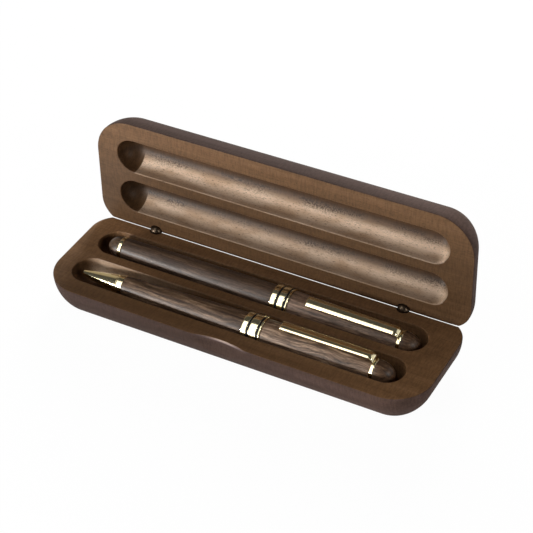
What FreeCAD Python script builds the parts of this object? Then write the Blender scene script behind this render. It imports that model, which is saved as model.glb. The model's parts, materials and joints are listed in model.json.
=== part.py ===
"""Hinged wooden case for a fountain pen and a twist ballpoint, with both pens in their channels.

Frame, in millimetres: the origin is the middle of the base's underside, X runs along the case,
Y runs from the front edge to the hinges and Z is up. The lid is modelled open.
"""
import FreeCAD
import Part
import math
import os

from FreeCAD import Vector

# Pen sections, as lengths along each pen from its left end
TIP_LENGTH = 17.3
TIP_COLLAR_LENGTH = 3.1
LOWER_BARREL_LENGTH = 56.8
BALLPOINT_BAND_LENGTH = 8.4
UPPER_BARREL_LENGTH = 47.0
BALLPOINT_FINIAL_LENGTH = 7.6
BARREL_END_LENGTH = 6.2
BARREL_RING_LENGTH = 1.6
BARREL_LENGTH = 71.3
CAP_BAND_LENGTH = 7.7
CAP_LENGTH = 47.6
CAP_FINIAL_LENGTH = 7.0
CLIP_RING_LENGTH = 1.6

# Pen radii
BAND_RADIUS = 6.75
TIP_POINT_RADIUS = 1.0
TIP_CONE_RADIUS = 4.0
TIP_COLLAR_RADIUS = 4.2
LOWER_BARREL_SMALL_RADIUS = 4.35
BARREL_LARGE_RADIUS = 6.0
BARREL_SMALL_RADIUS = 4.7
BARREL_RING_RADIUS = 4.85
CAP_LARGE_RADIUS = 6.2
CAP_SMALL_RADIUS = 5.0
CLIP_RING_RADIUS = 5.1
SWELL = 0.12

# Black rings let into the two gold bands
INLAY_WIDTH = 0.75
INLAY_DEPTH = 0.35
FIRST_INLAY_AT = 2.5
LAST_INLAY_FROM_END = 0.8
INLAY_SUNK = 0.05

# Clips
CLIP_REACH = 41.8
CLIP_FREE_WIDTH = 5.0
CLIP_NECK_WIDTH = 4.4
CLIP_THICKNESS = 1.5
CLIP_CROWN_RADIUS = 4.0
CLIP_LIFT = 1.4
CLIP_BEND_LENGTH = 1.7
CLIP_CORNER = 0.8
CLIP_FOOT_LENGTH = 5.4
CLIP_FOOT_GAP = 0.1
CLIP_ROOT_RADIUS = 2.9
BALLPOINT_CLIP_TURN = 2.0
CAP_CLIP_TURN = -16.0

# Tubes and inner pieces of the pens
GLUE_GAP = 0.02
RUNNING_GAP = 0.05
LINER_RADIUS = 3.5
LINER_WALL = 0.25
CAP_LINER_RADIUS = 4.4
INNER_CAP_WALL = 0.4
INNER_CAP_LENGTH = 24.0
SCREW_RADIUS = 1.9
SCREW_DEPTH = 5.0
BUSH_LENGTH = 6.0
SECTION_LENGTH = 24.0
SECTION_BACK_RADIUS = 3.95
SECTION_FRONT_RADIUS = 3.5
SECTION_SPIGOT_LENGTH = 9.0
CAP_SEAT_GAP = 0.15
NIB_LENGTH = 19.0
NIB_TAIL = 7.0
NIB_RADIUS = 2.75
NIB_SHEET = 0.25
NIB_SHOULDER_AT = 5.0
NIB_TIP_WIDTH = 0.7
NIB_VENT_RADIUS = 0.5
NIB_SLIT = 0.16
FEED_SHORTFALL = 4.0
FEED_FIN_COUNT = 6
FEED_FIN_PITCH = 1.1
FEED_FIN_SLOT = 0.4
FEED_FIN_DEPTH = 0.7
CONVERTER_RADIUS = 3.0
CONVERTER_WALL = 0.4
KNOB_RADIUS = 2.9
KNOB_WALL = 0.4
KNOB_GAP = 0.3
KNOB_END_ROOM = 3.4
KNOB_FLUTES = 12
KNOB_FLUTE_RADIUS = 0.35
PISTON_LENGTH = 5.0
PISTON_ROD_RADIUS = 0.8
PISTON_TRAVEL = 10.0
PISTON_FROM_MOUTH = 14.0
ROD_ENGAGED = 0.8
ROD_END_ROOM = 0.8
REFILL_RADIUS = 2.2
REFILL_NEEDLE_RADIUS = 0.9
REFILL_NEEDLE_LENGTH = 9.0
REFILL_POINT_LENGTH = 3.0
REFILL_BALL_RADIUS = 0.4
REFILL_SET_BACK = 1.7
REFILL_TRAVEL = 3.0
REFILL_SHOULDER_ROOM = 0.3
REFILL_PAST_BAND = 1.8
TIP_WALL = 0.5
TIP_SPIGOT_LENGTH = 8.0
HOLDER_RADIUS = 2.75
HOLDER_GRIP = 5.0
HOLDER_FLOOR = 1.5
MECHANISM_LENGTH = 30.0
MECHANISM_IN_LOWER = 9.0

# Wood of the case round the pens
SIDE_ROOM = 0.85
LEFT_GAP = 4.2
RIGHT_GAP = 2.8
LID_CHANNEL_SHIFT = 1.6
LEFT_WALL = 8.2
RIGHT_WALL = 11.8
BACK_WALL = 6.3
MID_WALL = 4.8
FRONT_WALL = 8.0
BACK_BEVEL = 2.5
HALF_HEIGHT = 16.0
AXIS_DROP = 2.85
BALLPOINT_DIP = 0.2
FOUNTAIN_DIP = 0.9
SIDE_ARC_EXTRA = 4.0
BOTTOM_ROUND = 5.0
FRONT_CORNER = 16.5
BACK_CORNER = 11.2
RIM_ROUND = 0.4
NOTCH_WIDTH = 23.4
NOTCH_DEPTH = 1.5
SEAT_GAP = 0.15
ARC_SECTIONS = 6
ROUND_SECTIONS = 5
TOUCH = 0.001

# Hinges
LEFT_HINGE_FROM_END = 26.4
RIGHT_HINGE_FROM_END = 28.6
PIN_BEHIND_FACE = 0.6
KNUCKLE_RADIUS = 2.25
TONGUE_WIDTH = 1.7
LUG_WIDTH = 1.5
LUG_SIDE_PLAY = 0.05
PIN_RADIUS = 0.6
PIN_PLAY = 0.05
PIN_SEAT_PLAY = 0.01
YOKE_GAP = 0.15
YOKE_HEIGHT = 1.0
YOKE_THICKNESS = 3.0
STEM_RADIUS = 1.4
STEM_LENGTH = 3.6
RIB_HEIGHT = 0.3
RIB_COUNT = 3
POCKET_ROOM = 0.35
HINGE_LEAN = 45.0
LID_OPEN_ANGLE = 92.0
HALF_TURN = 180.0

# Places worked out from the sizes above
COLLAR_AT = TIP_LENGTH
LOWER_BARREL_AT = COLLAR_AT + TIP_COLLAR_LENGTH
BALLPOINT_BAND_AT = LOWER_BARREL_AT + LOWER_BARREL_LENGTH
UPPER_BARREL_AT = BALLPOINT_BAND_AT + BALLPOINT_BAND_LENGTH
BALLPOINT_RING_AT = UPPER_BARREL_AT + UPPER_BARREL_LENGTH
BALLPOINT_FINIAL_AT = BALLPOINT_RING_AT + CLIP_RING_LENGTH
BALLPOINT_LENGTH = BALLPOINT_FINIAL_AT + BALLPOINT_FINIAL_LENGTH

BARREL_RING_AT = BARREL_END_LENGTH
BARREL_AT = BARREL_RING_AT + BARREL_RING_LENGTH
CAP_BAND_AT = BARREL_AT + BARREL_LENGTH
CAP_AT = CAP_BAND_AT + CAP_BAND_LENGTH
CAP_RING_AT = CAP_AT + CAP_LENGTH
CAP_FINIAL_AT = CAP_RING_AT + CLIP_RING_LENGTH
FOUNTAIN_LENGTH = CAP_FINIAL_AT + CAP_FINIAL_LENGTH

CHANNEL_RADIUS = BAND_RADIUS + SIDE_ROOM
CHANNEL_DEPTH = AXIS_DROP + BAND_RADIUS + SEAT_GAP
CHANNEL_LENGTH = LEFT_GAP + max(BALLPOINT_LENGTH, FOUNTAIN_LENGTH) + RIGHT_GAP
CASE_LENGTH = LEFT_WALL + CHANNEL_LENGTH + RIGHT_WALL
FACE_DEPTH = BACK_WALL + 2 * CHANNEL_RADIUS + MID_WALL + 2 * CHANNEL_RADIUS + FRONT_WALL
CASE_DEPTH = FACE_DEPTH + BACK_BEVEL
FRONT_Y = -CASE_DEPTH / 2
BACK_Y = CASE_DEPTH / 2
FACE_BACK_Y = BACK_Y - BACK_BEVEL
CHANNEL_LEFT = -CASE_LENGTH / 2 + LEFT_WALL
REAR_CHANNEL_Y = FACE_BACK_Y - BACK_WALL - CHANNEL_RADIUS
FRONT_CHANNEL_Y = REAR_CHANNEL_Y - 2 * CHANNEL_RADIUS - MID_WALL
PEN_LEFT = CHANNEL_LEFT + LEFT_GAP
SIDE_ARC = HALF_HEIGHT + SIDE_ARC_EXTRA
PIN_Y = FACE_BACK_Y + PIN_BEHIND_FACE
SEAM_Z = HALF_HEIGHT

YOKE_AT = KNUCKLE_RADIUS + YOKE_GAP
STEM_AT = YOKE_AT + YOKE_HEIGHT

LINER_BORE = LINER_RADIUS - LINER_WALL
WOOD_BORE = LINER_RADIUS + GLUE_GAP
CAP_LINER_BORE = CAP_LINER_RADIUS - LINER_WALL
CAP_WOOD_BORE = CAP_LINER_RADIUS + GLUE_GAP
SECTION_FRONT = CAP_BAND_AT + SECTION_LENGTH
FEED_BORE = NIB_RADIUS + GLUE_GAP
CONVERTER_NECK = CONVERTER_RADIUS - CONVERTER_WALL

ALONG = Vector(1, 0, 0)
ACROSS = Vector(0, 1, 0)
UP = Vector(0, 0, 1)
ORIGIN = Vector(0, 0, 0)


def box(x0, x1, y0, y1, z0, z1):
    return Part.makeBox(x1 - x0, y1 - y0, z1 - z0, Vector(x0, y0, z0))


def rod(x0, x1, radius):
    """A plain cylinder on the X axis."""
    return Part.makeCylinder(radius, x1 - x0, Vector(x0, 0, 0), ALONG)


def tube(x0, x1, outer, inner):
    return rod(x0, x1, outer).cut(rod(x0, x1, inner))


def swollen(x0, r0, x1, r1, swell):
    """A solid turned barrel: its outline is an arc that stands out by swell half-way."""
    middle = Vector((x0 + x1) / 2, (r0 + r1) / 2 + swell, 0)
    outline = [
        Part.makeLine(Vector(x0, 0, 0), Vector(x0, r0, 0)),
        Part.Arc(Vector(x0, r0, 0), middle, Vector(x1, r1, 0)).toShape(),
        Part.makeLine(Vector(x1, r1, 0), Vector(x1, 0, 0)),
        Part.makeLine(Vector(x1, 0, 0), Vector(x0, 0, 0)),
    ]
    return Part.Face(Part.Wire(outline)).revolve(ORIGIN, ALONG, 360)


def dome(x0, radius, length, way):
    """A half-ellipsoid cap on the X axis: way is +1 when it points right and -1 when it points left."""
    ellipse = Part.Ellipse(Vector(x0, 0, 0), length, radius)
    start, stop = (0, math.pi / 2) if way > 0 else (math.pi / 2, math.pi)
    arc = ellipse.toShape(start, stop)
    tip = Vector(x0 + way * length, 0, 0)
    shoulder = Vector(x0, radius, 0)
    centre = Vector(x0, 0, 0)
    wire = Part.Wire(Part.__sortEdges__([arc, Part.makeLine(tip, centre), Part.makeLine(centre, shoulder)]))
    return Part.Face(wire).revolve(ORIGIN, ALONG, 360)


def seated(shape, dip, contact_at, channel_y):
    """Lay a pen, drawn on the X axis from its left end, on its band with its right end dipping."""
    placed = shape.copy()
    placed.translate(Vector(-contact_at, 0, 0))
    placed.rotate(ORIGIN, ACROSS, dip)
    placed.translate(Vector(PEN_LEFT + contact_at, channel_y, SEAM_Z - AXIS_DROP))
    return placed


def ballpoint_seated(shape):
    return seated(shape, BALLPOINT_DIP, BALLPOINT_BAND_AT, FRONT_CHANNEL_Y)


def fountain_seated(shape):
    return seated(shape, FOUNTAIN_DIP, CAP_BAND_AT, REAR_CHANNEL_Y)


# Case halves, drawn with the seam at z = 0 and the half below it

def wall_stations():
    """Depth and inset of the wall: a large arc from the seam, then a smaller one into the bottom."""
    small_centre_depth = HALF_HEIGHT - BOTTOM_ROUND
    reach = math.sqrt((SIDE_ARC - BOTTOM_ROUND) ** 2 - small_centre_depth ** 2)
    small_centre_inset = SIDE_ARC - reach
    turn = math.atan2(small_centre_depth, reach)
    stations = []
    for step in range(ARC_SECTIONS):
        angle = turn * step / ARC_SECTIONS
        stations.append((SIDE_ARC * math.sin(angle), SIDE_ARC * (1 - math.cos(angle))))
    for step in range(ROUND_SECTIONS + 1):
        angle = turn + (math.pi / 2 - turn) * step / ROUND_SECTIONS
        depth = small_centre_depth + BOTTOM_ROUND * math.sin(angle)
        stations.append((depth, small_centre_inset - BOTTOM_ROUND * math.cos(angle)))
    return stations


def back_inset(depth):
    """The back wall is upright and only its bottom edge is rounded."""
    below = depth - (HALF_HEIGHT - BOTTOM_ROUND)
    if below <= 0:
        return 0.0
    return BOTTOM_ROUND - math.sqrt(max(BOTTOM_ROUND ** 2 - below ** 2, 0.0))


def plan_outline(depth, inset):
    """The case's plan at one depth: a rectangle with large front corners and smaller back corners."""
    half = CASE_LENGTH / 2 - inset
    front = FRONT_Y + inset
    back = BACK_Y - back_inset(depth)
    front_round = FRONT_CORNER - inset
    back_round = BACK_CORNER - back_inset(depth)
    slant = math.sqrt(0.5)

    def point(x, y):
        return Vector(x, y, -depth)

    def corner(side, y_centre, radius, way):
        x_centre = side * (half - radius)
        return point(x_centre + side * radius * slant, y_centre + way * radius * slant)

    front_centre = front + front_round
    back_centre = back - back_round
    front_left = point(-half + front_round, front)
    front_right = point(half - front_round, front)
    right_low = point(half, front_centre)
    right_high = point(half, back_centre)
    back_right = point(half - back_round, back)
    back_left = point(-half + back_round, back)
    left_high = point(-half, back_centre)
    left_low = point(-half, front_centre)
    edges = [
        Part.makeLine(front_left, front_right),
        Part.Arc(front_right, corner(1, front_centre, front_round, -1), right_low).toShape(),
        Part.makeLine(right_low, right_high),
        Part.Arc(right_high, corner(1, back_centre, back_round, 1), back_right).toShape(),
        Part.makeLine(back_right, back_left),
        Part.Arc(back_left, corner(-1, back_centre, back_round, 1), left_high).toShape(),
        Part.makeLine(left_high, left_low),
        Part.Arc(left_low, corner(-1, front_centre, front_round, -1), front_left).toShape(),
    ]
    return Part.Wire(edges)


def channel_cutter(y, shift):
    """A round-bottomed groove with ball ends, cut below the seam and moved right by shift."""
    left = CHANNEL_LEFT + shift + CHANNEL_RADIUS
    right = left + CHANNEL_LENGTH - 2 * CHANNEL_RADIUS
    centre_z = CHANNEL_RADIUS - CHANNEL_DEPTH
    cutter = Part.makeCylinder(CHANNEL_RADIUS, right - left, Vector(left, y, centre_z), ALONG)
    above = CHANNEL_RADIUS
    for end in (left, right):
        cutter = cutter.fuse(Part.makeSphere(CHANNEL_RADIUS, Vector(end, y, centre_z)))
        mouth = Part.makeCylinder(CHANNEL_RADIUS, above - centre_z, Vector(end, y, centre_z), UP)
        cutter = cutter.fuse(mouth)
    slot = box(left, right, y - CHANNEL_RADIUS, y + CHANNEL_RADIUS, centre_z, above)
    return cutter.fuse(slot).removeSplitter()


def back_bevel_cutter():
    """The wedge taken off the back edge, so that the two halves leave a groove for the hinges."""
    left = -CASE_LENGTH
    corner = Vector(left, FACE_BACK_Y, 0)
    low = Vector(left, BACK_Y, -BACK_BEVEL)
    far = Vector(left, BACK_Y + BACK_BEVEL, -BACK_BEVEL)
    top = Vector(left, BACK_Y + BACK_BEVEL, BACK_BEVEL)
    over = Vector(left, FACE_BACK_Y, BACK_BEVEL)
    wedge = Part.Face(Part.makePolygon([corner, low, far, top, over, corner]))
    return wedge.extrude(ALONG * 2 * CASE_LENGTH)


def thumb_notch_cutter():
    radius = (NOTCH_WIDTH ** 2 / 4 + NOTCH_DEPTH ** 2) / (2 * NOTCH_DEPTH)
    centre = Vector(0, FRONT_Y + NOTCH_DEPTH - radius, -HALF_HEIGHT)
    return Part.makeCylinder(radius, 2 * HALF_HEIGHT, centre, UP)


def on_seam(edge):
    return abs(edge.BoundBox.ZMin) < TOUCH and abs(edge.BoundBox.ZMax) < TOUCH


def at_back(edge):
    return edge.BoundBox.YMin > FACE_BACK_Y - TOUCH


def case_half(channel_shift, notched):
    """One half of the case with its channels, rounded rims and hinge seats."""
    sections = [plan_outline(depth, inset) for depth, inset in wall_stations()]
    half = Part.makeLoft(sections, True, False)
    half = half.cut(back_bevel_cutter())
    for y in (REAR_CHANNEL_Y, FRONT_CHANNEL_Y):
        half = half.cut(channel_cutter(y, channel_shift))
    if notched:
        half = half.cut(thumb_notch_cutter())
    rims = [edge for edge in half.Edges if on_seam(edge) and not at_back(edge)]
    half = half.makeFillet(RIM_ROUND, rims)
    for x in hinge_places():
        half = half.cut(hinge_seat_cutter(x))
    return half


# Hinges: the leaf is drawn with the pin on the X axis and its stem pointing down

def hinge_places():
    return (LEFT_HINGE_FROM_END - CASE_LENGTH / 2, CASE_LENGTH / 2 - RIGHT_HINGE_FROM_END)


def knuckle_width():
    return TONGUE_WIDTH + 2 * (LUG_SIDE_PLAY + LUG_WIDTH)


def lug(x0, x1):
    """A round eye with a web running down to the yoke."""
    eye = rod(x0, x1, KNUCKLE_RADIUS)
    half = YOKE_THICKNESS / 2
    return eye.fuse(box(x0, x1, -half, half, -YOKE_AT - YOKE_HEIGHT / 2, 0))


def ribbed_stem():
    stem = Part.makeCylinder(STEM_RADIUS, STEM_LENGTH, Vector(0, 0, -STEM_AT - STEM_LENGTH), UP)
    pitch = STEM_LENGTH / (RIB_COUNT + 0.5)
    for number in range(RIB_COUNT):
        low = -STEM_AT - pitch * (number + 1)
        rib = Part.makeCone(STEM_RADIUS, STEM_RADIUS + RIB_HEIGHT, pitch / 2, Vector(0, 0, low), UP)
        stem = stem.fuse(rib)
    return stem


def yoke():
    wide = knuckle_width() / 2
    thick = YOKE_THICKNESS / 2
    return box(-wide, wide, -thick, thick, -STEM_AT, -YOKE_AT)


def fork_leaf():
    inner = TONGUE_WIDTH / 2 + LUG_SIDE_PLAY
    leaf = yoke().fuse(ribbed_stem())
    for x0, x1 in ((-inner - LUG_WIDTH, -inner), (inner, inner + LUG_WIDTH)):
        leaf = leaf.fuse(lug(x0, x1))
    wide = knuckle_width() / 2
    return leaf.cut(rod(-wide, wide, PIN_RADIUS + PIN_SEAT_PLAY)).removeSplitter()


def tongue_leaf():
    half = TONGUE_WIDTH / 2
    leaf = yoke().fuse(ribbed_stem()).fuse(lug(-half, half))
    return leaf.cut(rod(-half, half, PIN_RADIUS + PIN_PLAY)).removeSplitter()


def hinge_pin():
    wide = knuckle_width() / 2
    return rod(-wide, wide, PIN_RADIUS)


def at_hinge(shape, x, turn):
    """Turn a leaf about the pin and carry it to its place on the seam's back edge."""
    placed = shape.copy()
    placed.rotate(ORIGIN, ALONG, turn)
    placed.translate(Vector(x, PIN_Y, 0))
    return placed


def hinge_seat_cutter(x):
    """The pocket for the knuckle, the slot for the yoke and the hole for the stem."""
    wide = knuckle_width() / 2 + POCKET_ROOM
    thick = YOKE_THICKNESS / 2 + GLUE_GAP
    hole = STEM_RADIUS + RIB_HEIGHT + GLUE_GAP
    seat = rod(-wide, wide, KNUCKLE_RADIUS + POCKET_ROOM)
    seat = seat.fuse(box(-wide, wide, -thick, thick, -STEM_AT - GLUE_GAP, 0))
    length = STEM_AT + STEM_LENGTH + GLUE_GAP
    seat = seat.fuse(Part.makeCylinder(hole, length, Vector(0, 0, -length), UP))
    return at_hinge(seat, x, -HINGE_LEAN)


# Turned and bent pieces that both pens share

def band(x0, length, bore):
    """A gold band with two grooves for the black rings."""
    ring = tube(x0, x0 + length, BAND_RADIUS, bore)
    for start in inlay_places(x0, length):
        end = start + INLAY_WIDTH
        ring = ring.cut(tube(start, end, BAND_RADIUS + INLAY_DEPTH, BAND_RADIUS - INLAY_DEPTH))
    return ring


def inlay_places(x0, length):
    return (x0 + FIRST_INLAY_AT, x0 + length - LAST_INLAY_FROM_END - INLAY_WIDTH)


def band_inlays(x0, length):
    rings = []
    for start in inlay_places(x0, length):
        left = start + GLUE_GAP
        right = start + INLAY_WIDTH - GLUE_GAP
        rings.append(tube(left, right, BAND_RADIUS - INLAY_SUNK, BAND_RADIUS - INLAY_DEPTH + GLUE_GAP))
    return Part.makeCompound(rings)


def clip(ring_at, barrel_radius_at_foot, turn):
    """A ring under the finial with a crowned strap that rises and runs back along the barrel."""
    ring_end = ring_at + CLIP_RING_LENGTH
    foot = ring_end - CLIP_REACH
    low = CLIP_RING_RADIUS + CLIP_LIFT
    high = low + CLIP_THICKNESS
    bend = ring_at - CLIP_BEND_LENGTH
    touch = barrel_radius_at_foot + CLIP_FOOT_GAP
    profile = Part.makePolygon([
        Vector(ring_end, 0, CLIP_ROOT_RADIUS),
        Vector(ring_end, 0, CLIP_RING_RADIUS),
        Vector(ring_at, 0, high - CLIP_THICKNESS / 2),
        Vector(bend + CLIP_THICKNESS, 0, high),
        Vector(foot, 0, high),
        Vector(foot, 0, touch + CLIP_THICKNESS / 2),
        Vector(foot + CLIP_FOOT_LENGTH / 2, 0, touch),
        Vector(foot + CLIP_FOOT_LENGTH, 0, low),
        Vector(bend, 0, low),
        Vector(ring_at, 0, CAP_SMALL_RADIUS + CLIP_FOOT_GAP),
        Vector(ring_at, 0, CLIP_ROOT_RADIUS),
        Vector(ring_end, 0, CLIP_ROOT_RADIUS),
    ])
    free = CLIP_FREE_WIDTH / 2
    neck = CLIP_NECK_WIDTH / 2
    strap = Part.Face(profile).extrude(ACROSS * CLIP_FREE_WIDTH)
    strap.translate(ACROSS * -free)
    plan = Part.makePolygon([
        Vector(foot, CLIP_CORNER - free, 0),
        Vector(foot + CLIP_CORNER, -free, 0),
        Vector(ring_end, -neck, 0),
        Vector(ring_end, neck, 0),
        Vector(foot + CLIP_CORNER, free, 0),
        Vector(foot, free - CLIP_CORNER, 0),
        Vector(foot, CLIP_CORNER - free, 0),
    ])
    strap = strap.common(Part.Face(plan).extrude(UP * 2 * high))
    crown_start = Vector(foot, 0, high - CLIP_CROWN_RADIUS)
    crown = Part.makeCylinder(CLIP_CROWN_RADIUS, CLIP_REACH, crown_start, ALONG)
    under = box(foot, ring_end, -free, free, 0, high - CLIP_CROWN_RADIUS / 2)
    strap = strap.common(crown.fuse(under))
    whole = rod(ring_at, ring_end, CLIP_RING_RADIUS).fuse(strap)
    whole = whole.cut(rod(ring_at, ring_end, SCREW_RADIUS + GLUE_GAP)).removeSplitter()
    whole.rotate(ORIGIN, ALONG, -turn)
    return whole


def finial(x0, radius, length):
    """A wooden dome, drilled for its screw."""
    return dome(x0, radius, length, 1).cut(rod(x0, x0 + SCREW_DEPTH + GLUE_GAP, SCREW_RADIUS + GLUE_GAP))


def finial_screw(ring_at, bush_radius):
    """A bush glued into the tube, with a stud that holds the clip ring and the finial."""
    bush = rod(ring_at - BUSH_LENGTH, ring_at, bush_radius)
    return bush.fuse(rod(ring_at, ring_at + CLIP_RING_LENGTH + SCREW_DEPTH, SCREW_RADIUS)).removeSplitter()


def barrel_radius(x, x0, r0, x1, r1):
    """The straight line between a barrel's two ends, raised by its swell."""
    share = (x - x0) / (x1 - x0)
    return r0 + (r1 - r0) * share + SWELL * 4 * share * (1 - share)


# Ballpoint pieces, from the writing end to the finial

def ballpoint_tip():
    """A gold cone with a collar, hollow for the refill, and a spigot that plugs into the liner."""
    cone = swollen(0, TIP_POINT_RADIUS + TIP_WALL / 2, COLLAR_AT, TIP_CONE_RADIUS, SWELL)
    collar = rod(COLLAR_AT, LOWER_BARREL_AT, TIP_COLLAR_RADIUS)
    spigot = rod(LOWER_BARREL_AT, LOWER_BARREL_AT + TIP_SPIGOT_LENGTH, LINER_BORE - GLUE_GAP)
    solid = cone.fuse(collar).fuse(spigot)
    needle_bore = REFILL_NEEDLE_RADIUS + RUNNING_GAP
    wide_bore = REFILL_RADIUS + RUNNING_GAP
    shoulder = REFILL_SET_BACK + REFILL_NEEDLE_LENGTH - REFILL_TRAVEL - REFILL_SHOULDER_ROOM
    end = LOWER_BARREL_AT + TIP_SPIGOT_LENGTH
    solid = solid.cut(rod(0, shoulder, needle_bore)).cut(rod(shoulder, end, wide_bore))
    return solid.removeSplitter()


def ballpoint_refill():
    """A ball point on a needle, then the ink tube, drawn back inside the tip."""
    point = REFILL_SET_BACK
    needle = point + REFILL_POINT_LENGTH
    shoulder = point + REFILL_NEEDLE_LENGTH
    start = Vector(point, 0, 0)
    nose = Part.makeCone(REFILL_BALL_RADIUS, REFILL_NEEDLE_RADIUS, REFILL_POINT_LENGTH, start, ALONG)
    refill = nose.fuse(rod(needle, shoulder, REFILL_NEEDLE_RADIUS))
    return refill.fuse(rod(shoulder, refill_end(), REFILL_RADIUS)).removeSplitter()


def refill_end():
    return BALLPOINT_BAND_AT + REFILL_PAST_BAND


def refill_holder():
    """The sliding nose of the twist mechanism, a cup over the end of the refill."""
    start = refill_end() - HOLDER_GRIP
    cup = rod(start, refill_end() + GLUE_GAP + HOLDER_FLOOR, HOLDER_RADIUS)
    return cup.cut(rod(start, refill_end() + GLUE_GAP, REFILL_RADIUS + GLUE_GAP))


def twist_mechanism():
    """A brass housing in the upper tube, with a nose that the lower tube turns on."""
    start = BALLPOINT_BAND_AT - MECHANISM_IN_LOWER
    end = start + MECHANISM_LENGTH
    nose = rod(start, BALLPOINT_BAND_AT, LINER_BORE - RUNNING_GAP)
    housing = nose.fuse(rod(BALLPOINT_BAND_AT, end, LINER_BORE - GLUE_GAP))
    inside = end - (LINER_BORE - HOLDER_RADIUS)
    return housing.cut(rod(start, inside, HOLDER_RADIUS + RUNNING_GAP)).removeSplitter()


def ballpoint_lower_barrel():
    wood = swollen(LOWER_BARREL_AT, LOWER_BARREL_SMALL_RADIUS, BALLPOINT_BAND_AT - RUNNING_GAP,
                   BARREL_LARGE_RADIUS, SWELL)
    return wood.cut(rod(LOWER_BARREL_AT, BALLPOINT_BAND_AT, WOOD_BORE))


def ballpoint_lower_liner():
    return tube(LOWER_BARREL_AT, BALLPOINT_BAND_AT - RUNNING_GAP, LINER_RADIUS, LINER_BORE)


def ballpoint_upper_barrel():
    wood = swollen(UPPER_BARREL_AT, CAP_LARGE_RADIUS, BALLPOINT_RING_AT, CAP_SMALL_RADIUS, SWELL)
    return wood.cut(rod(UPPER_BARREL_AT, BALLPOINT_RING_AT, WOOD_BORE))


def ballpoint_upper_liner():
    return tube(BALLPOINT_BAND_AT, BALLPOINT_RING_AT, LINER_RADIUS, LINER_BORE)


def ballpoint_clip():
    foot = BALLPOINT_FINIAL_AT - CLIP_REACH + CLIP_FOOT_LENGTH / 2
    touch = barrel_radius(foot, UPPER_BARREL_AT, CAP_LARGE_RADIUS, BALLPOINT_RING_AT, CAP_SMALL_RADIUS)
    return clip(BALLPOINT_RING_AT, touch, BALLPOINT_CLIP_TURN)


# Fountain pen pieces, from the barrel's end to the cap's finial

def barrel_end():
    drilled = rod(BARREL_RING_AT - SCREW_DEPTH / 2 - GLUE_GAP, BARREL_RING_AT, SCREW_RADIUS + GLUE_GAP)
    return dome(BARREL_RING_AT, BARREL_SMALL_RADIUS, BARREL_END_LENGTH, -1).cut(drilled)


def barrel_ring():
    return tube(BARREL_RING_AT, BARREL_AT, BARREL_RING_RADIUS, SCREW_RADIUS + GLUE_GAP)


def barrel_screw():
    stud = rod(BARREL_RING_AT - SCREW_DEPTH / 2, BARREL_AT, SCREW_RADIUS)
    return stud.fuse(rod(BARREL_AT, BARREL_AT + BUSH_LENGTH, LINER_BORE - GLUE_GAP)).removeSplitter()


def barrel_wood():
    end = CAP_BAND_AT - CAP_SEAT_GAP
    wood = swollen(BARREL_AT, BARREL_SMALL_RADIUS, end, BARREL_LARGE_RADIUS, SWELL)
    return wood.cut(rod(BARREL_AT, end, WOOD_BORE))


def barrel_liner():
    return tube(BARREL_AT, CAP_BAND_AT - CAP_SEAT_GAP, LINER_RADIUS, LINER_BORE)


def section():
    """The black grip: a screwed spigot in the barrel and a tapered front that holds nib and feed."""
    back = CAP_BAND_AT - CAP_SEAT_GAP + RUNNING_GAP
    spigot_at = back - SECTION_SPIGOT_LENGTH
    start = Vector(back, 0, 0)
    grip = Part.makeCone(SECTION_BACK_RADIUS, SECTION_FRONT_RADIUS, SECTION_FRONT - back, start, ALONG)
    spigot = rod(spigot_at, back, LINER_BORE - RUNNING_GAP)
    body = grip.fuse(spigot)
    body = body.cut(rod(SECTION_FRONT - NIB_TAIL, SECTION_FRONT, FEED_BORE))
    socket = rod(spigot_at, converter_start(), CONVERTER_NECK + GLUE_GAP)
    return body.cut(socket).removeSplitter()


def nib():
    """A gold blade rolled to a part of a tube, with shoulders, a vent and a slit."""
    tail = SECTION_FRONT - NIB_TAIL
    point = SECTION_FRONT + NIB_LENGTH
    shoulder = SECTION_FRONT + NIB_SHOULDER_AT
    sheet = tube(tail, point, NIB_RADIUS, NIB_RADIUS - NIB_SHEET)
    wide = NIB_RADIUS
    plan = Part.makePolygon([
        Vector(tail, -wide, 0),
        Vector(shoulder, -wide, 0),
        Vector(point, -NIB_TIP_WIDTH / 2, 0),
        Vector(point, NIB_TIP_WIDTH / 2, 0),
        Vector(shoulder, wide, 0),
        Vector(tail, wide, 0),
        Vector(tail, -wide, 0),
    ])
    blade = sheet.common(Part.Face(plan).extrude(UP * NIB_RADIUS))
    vent_at = (shoulder + point) / 2
    blade = blade.cut(Part.makeCylinder(NIB_VENT_RADIUS, NIB_RADIUS, Vector(vent_at, 0, 0), UP))
    return blade.cut(box(vent_at, point, -NIB_SLIT / 2, NIB_SLIT / 2, 0, NIB_RADIUS))


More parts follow.
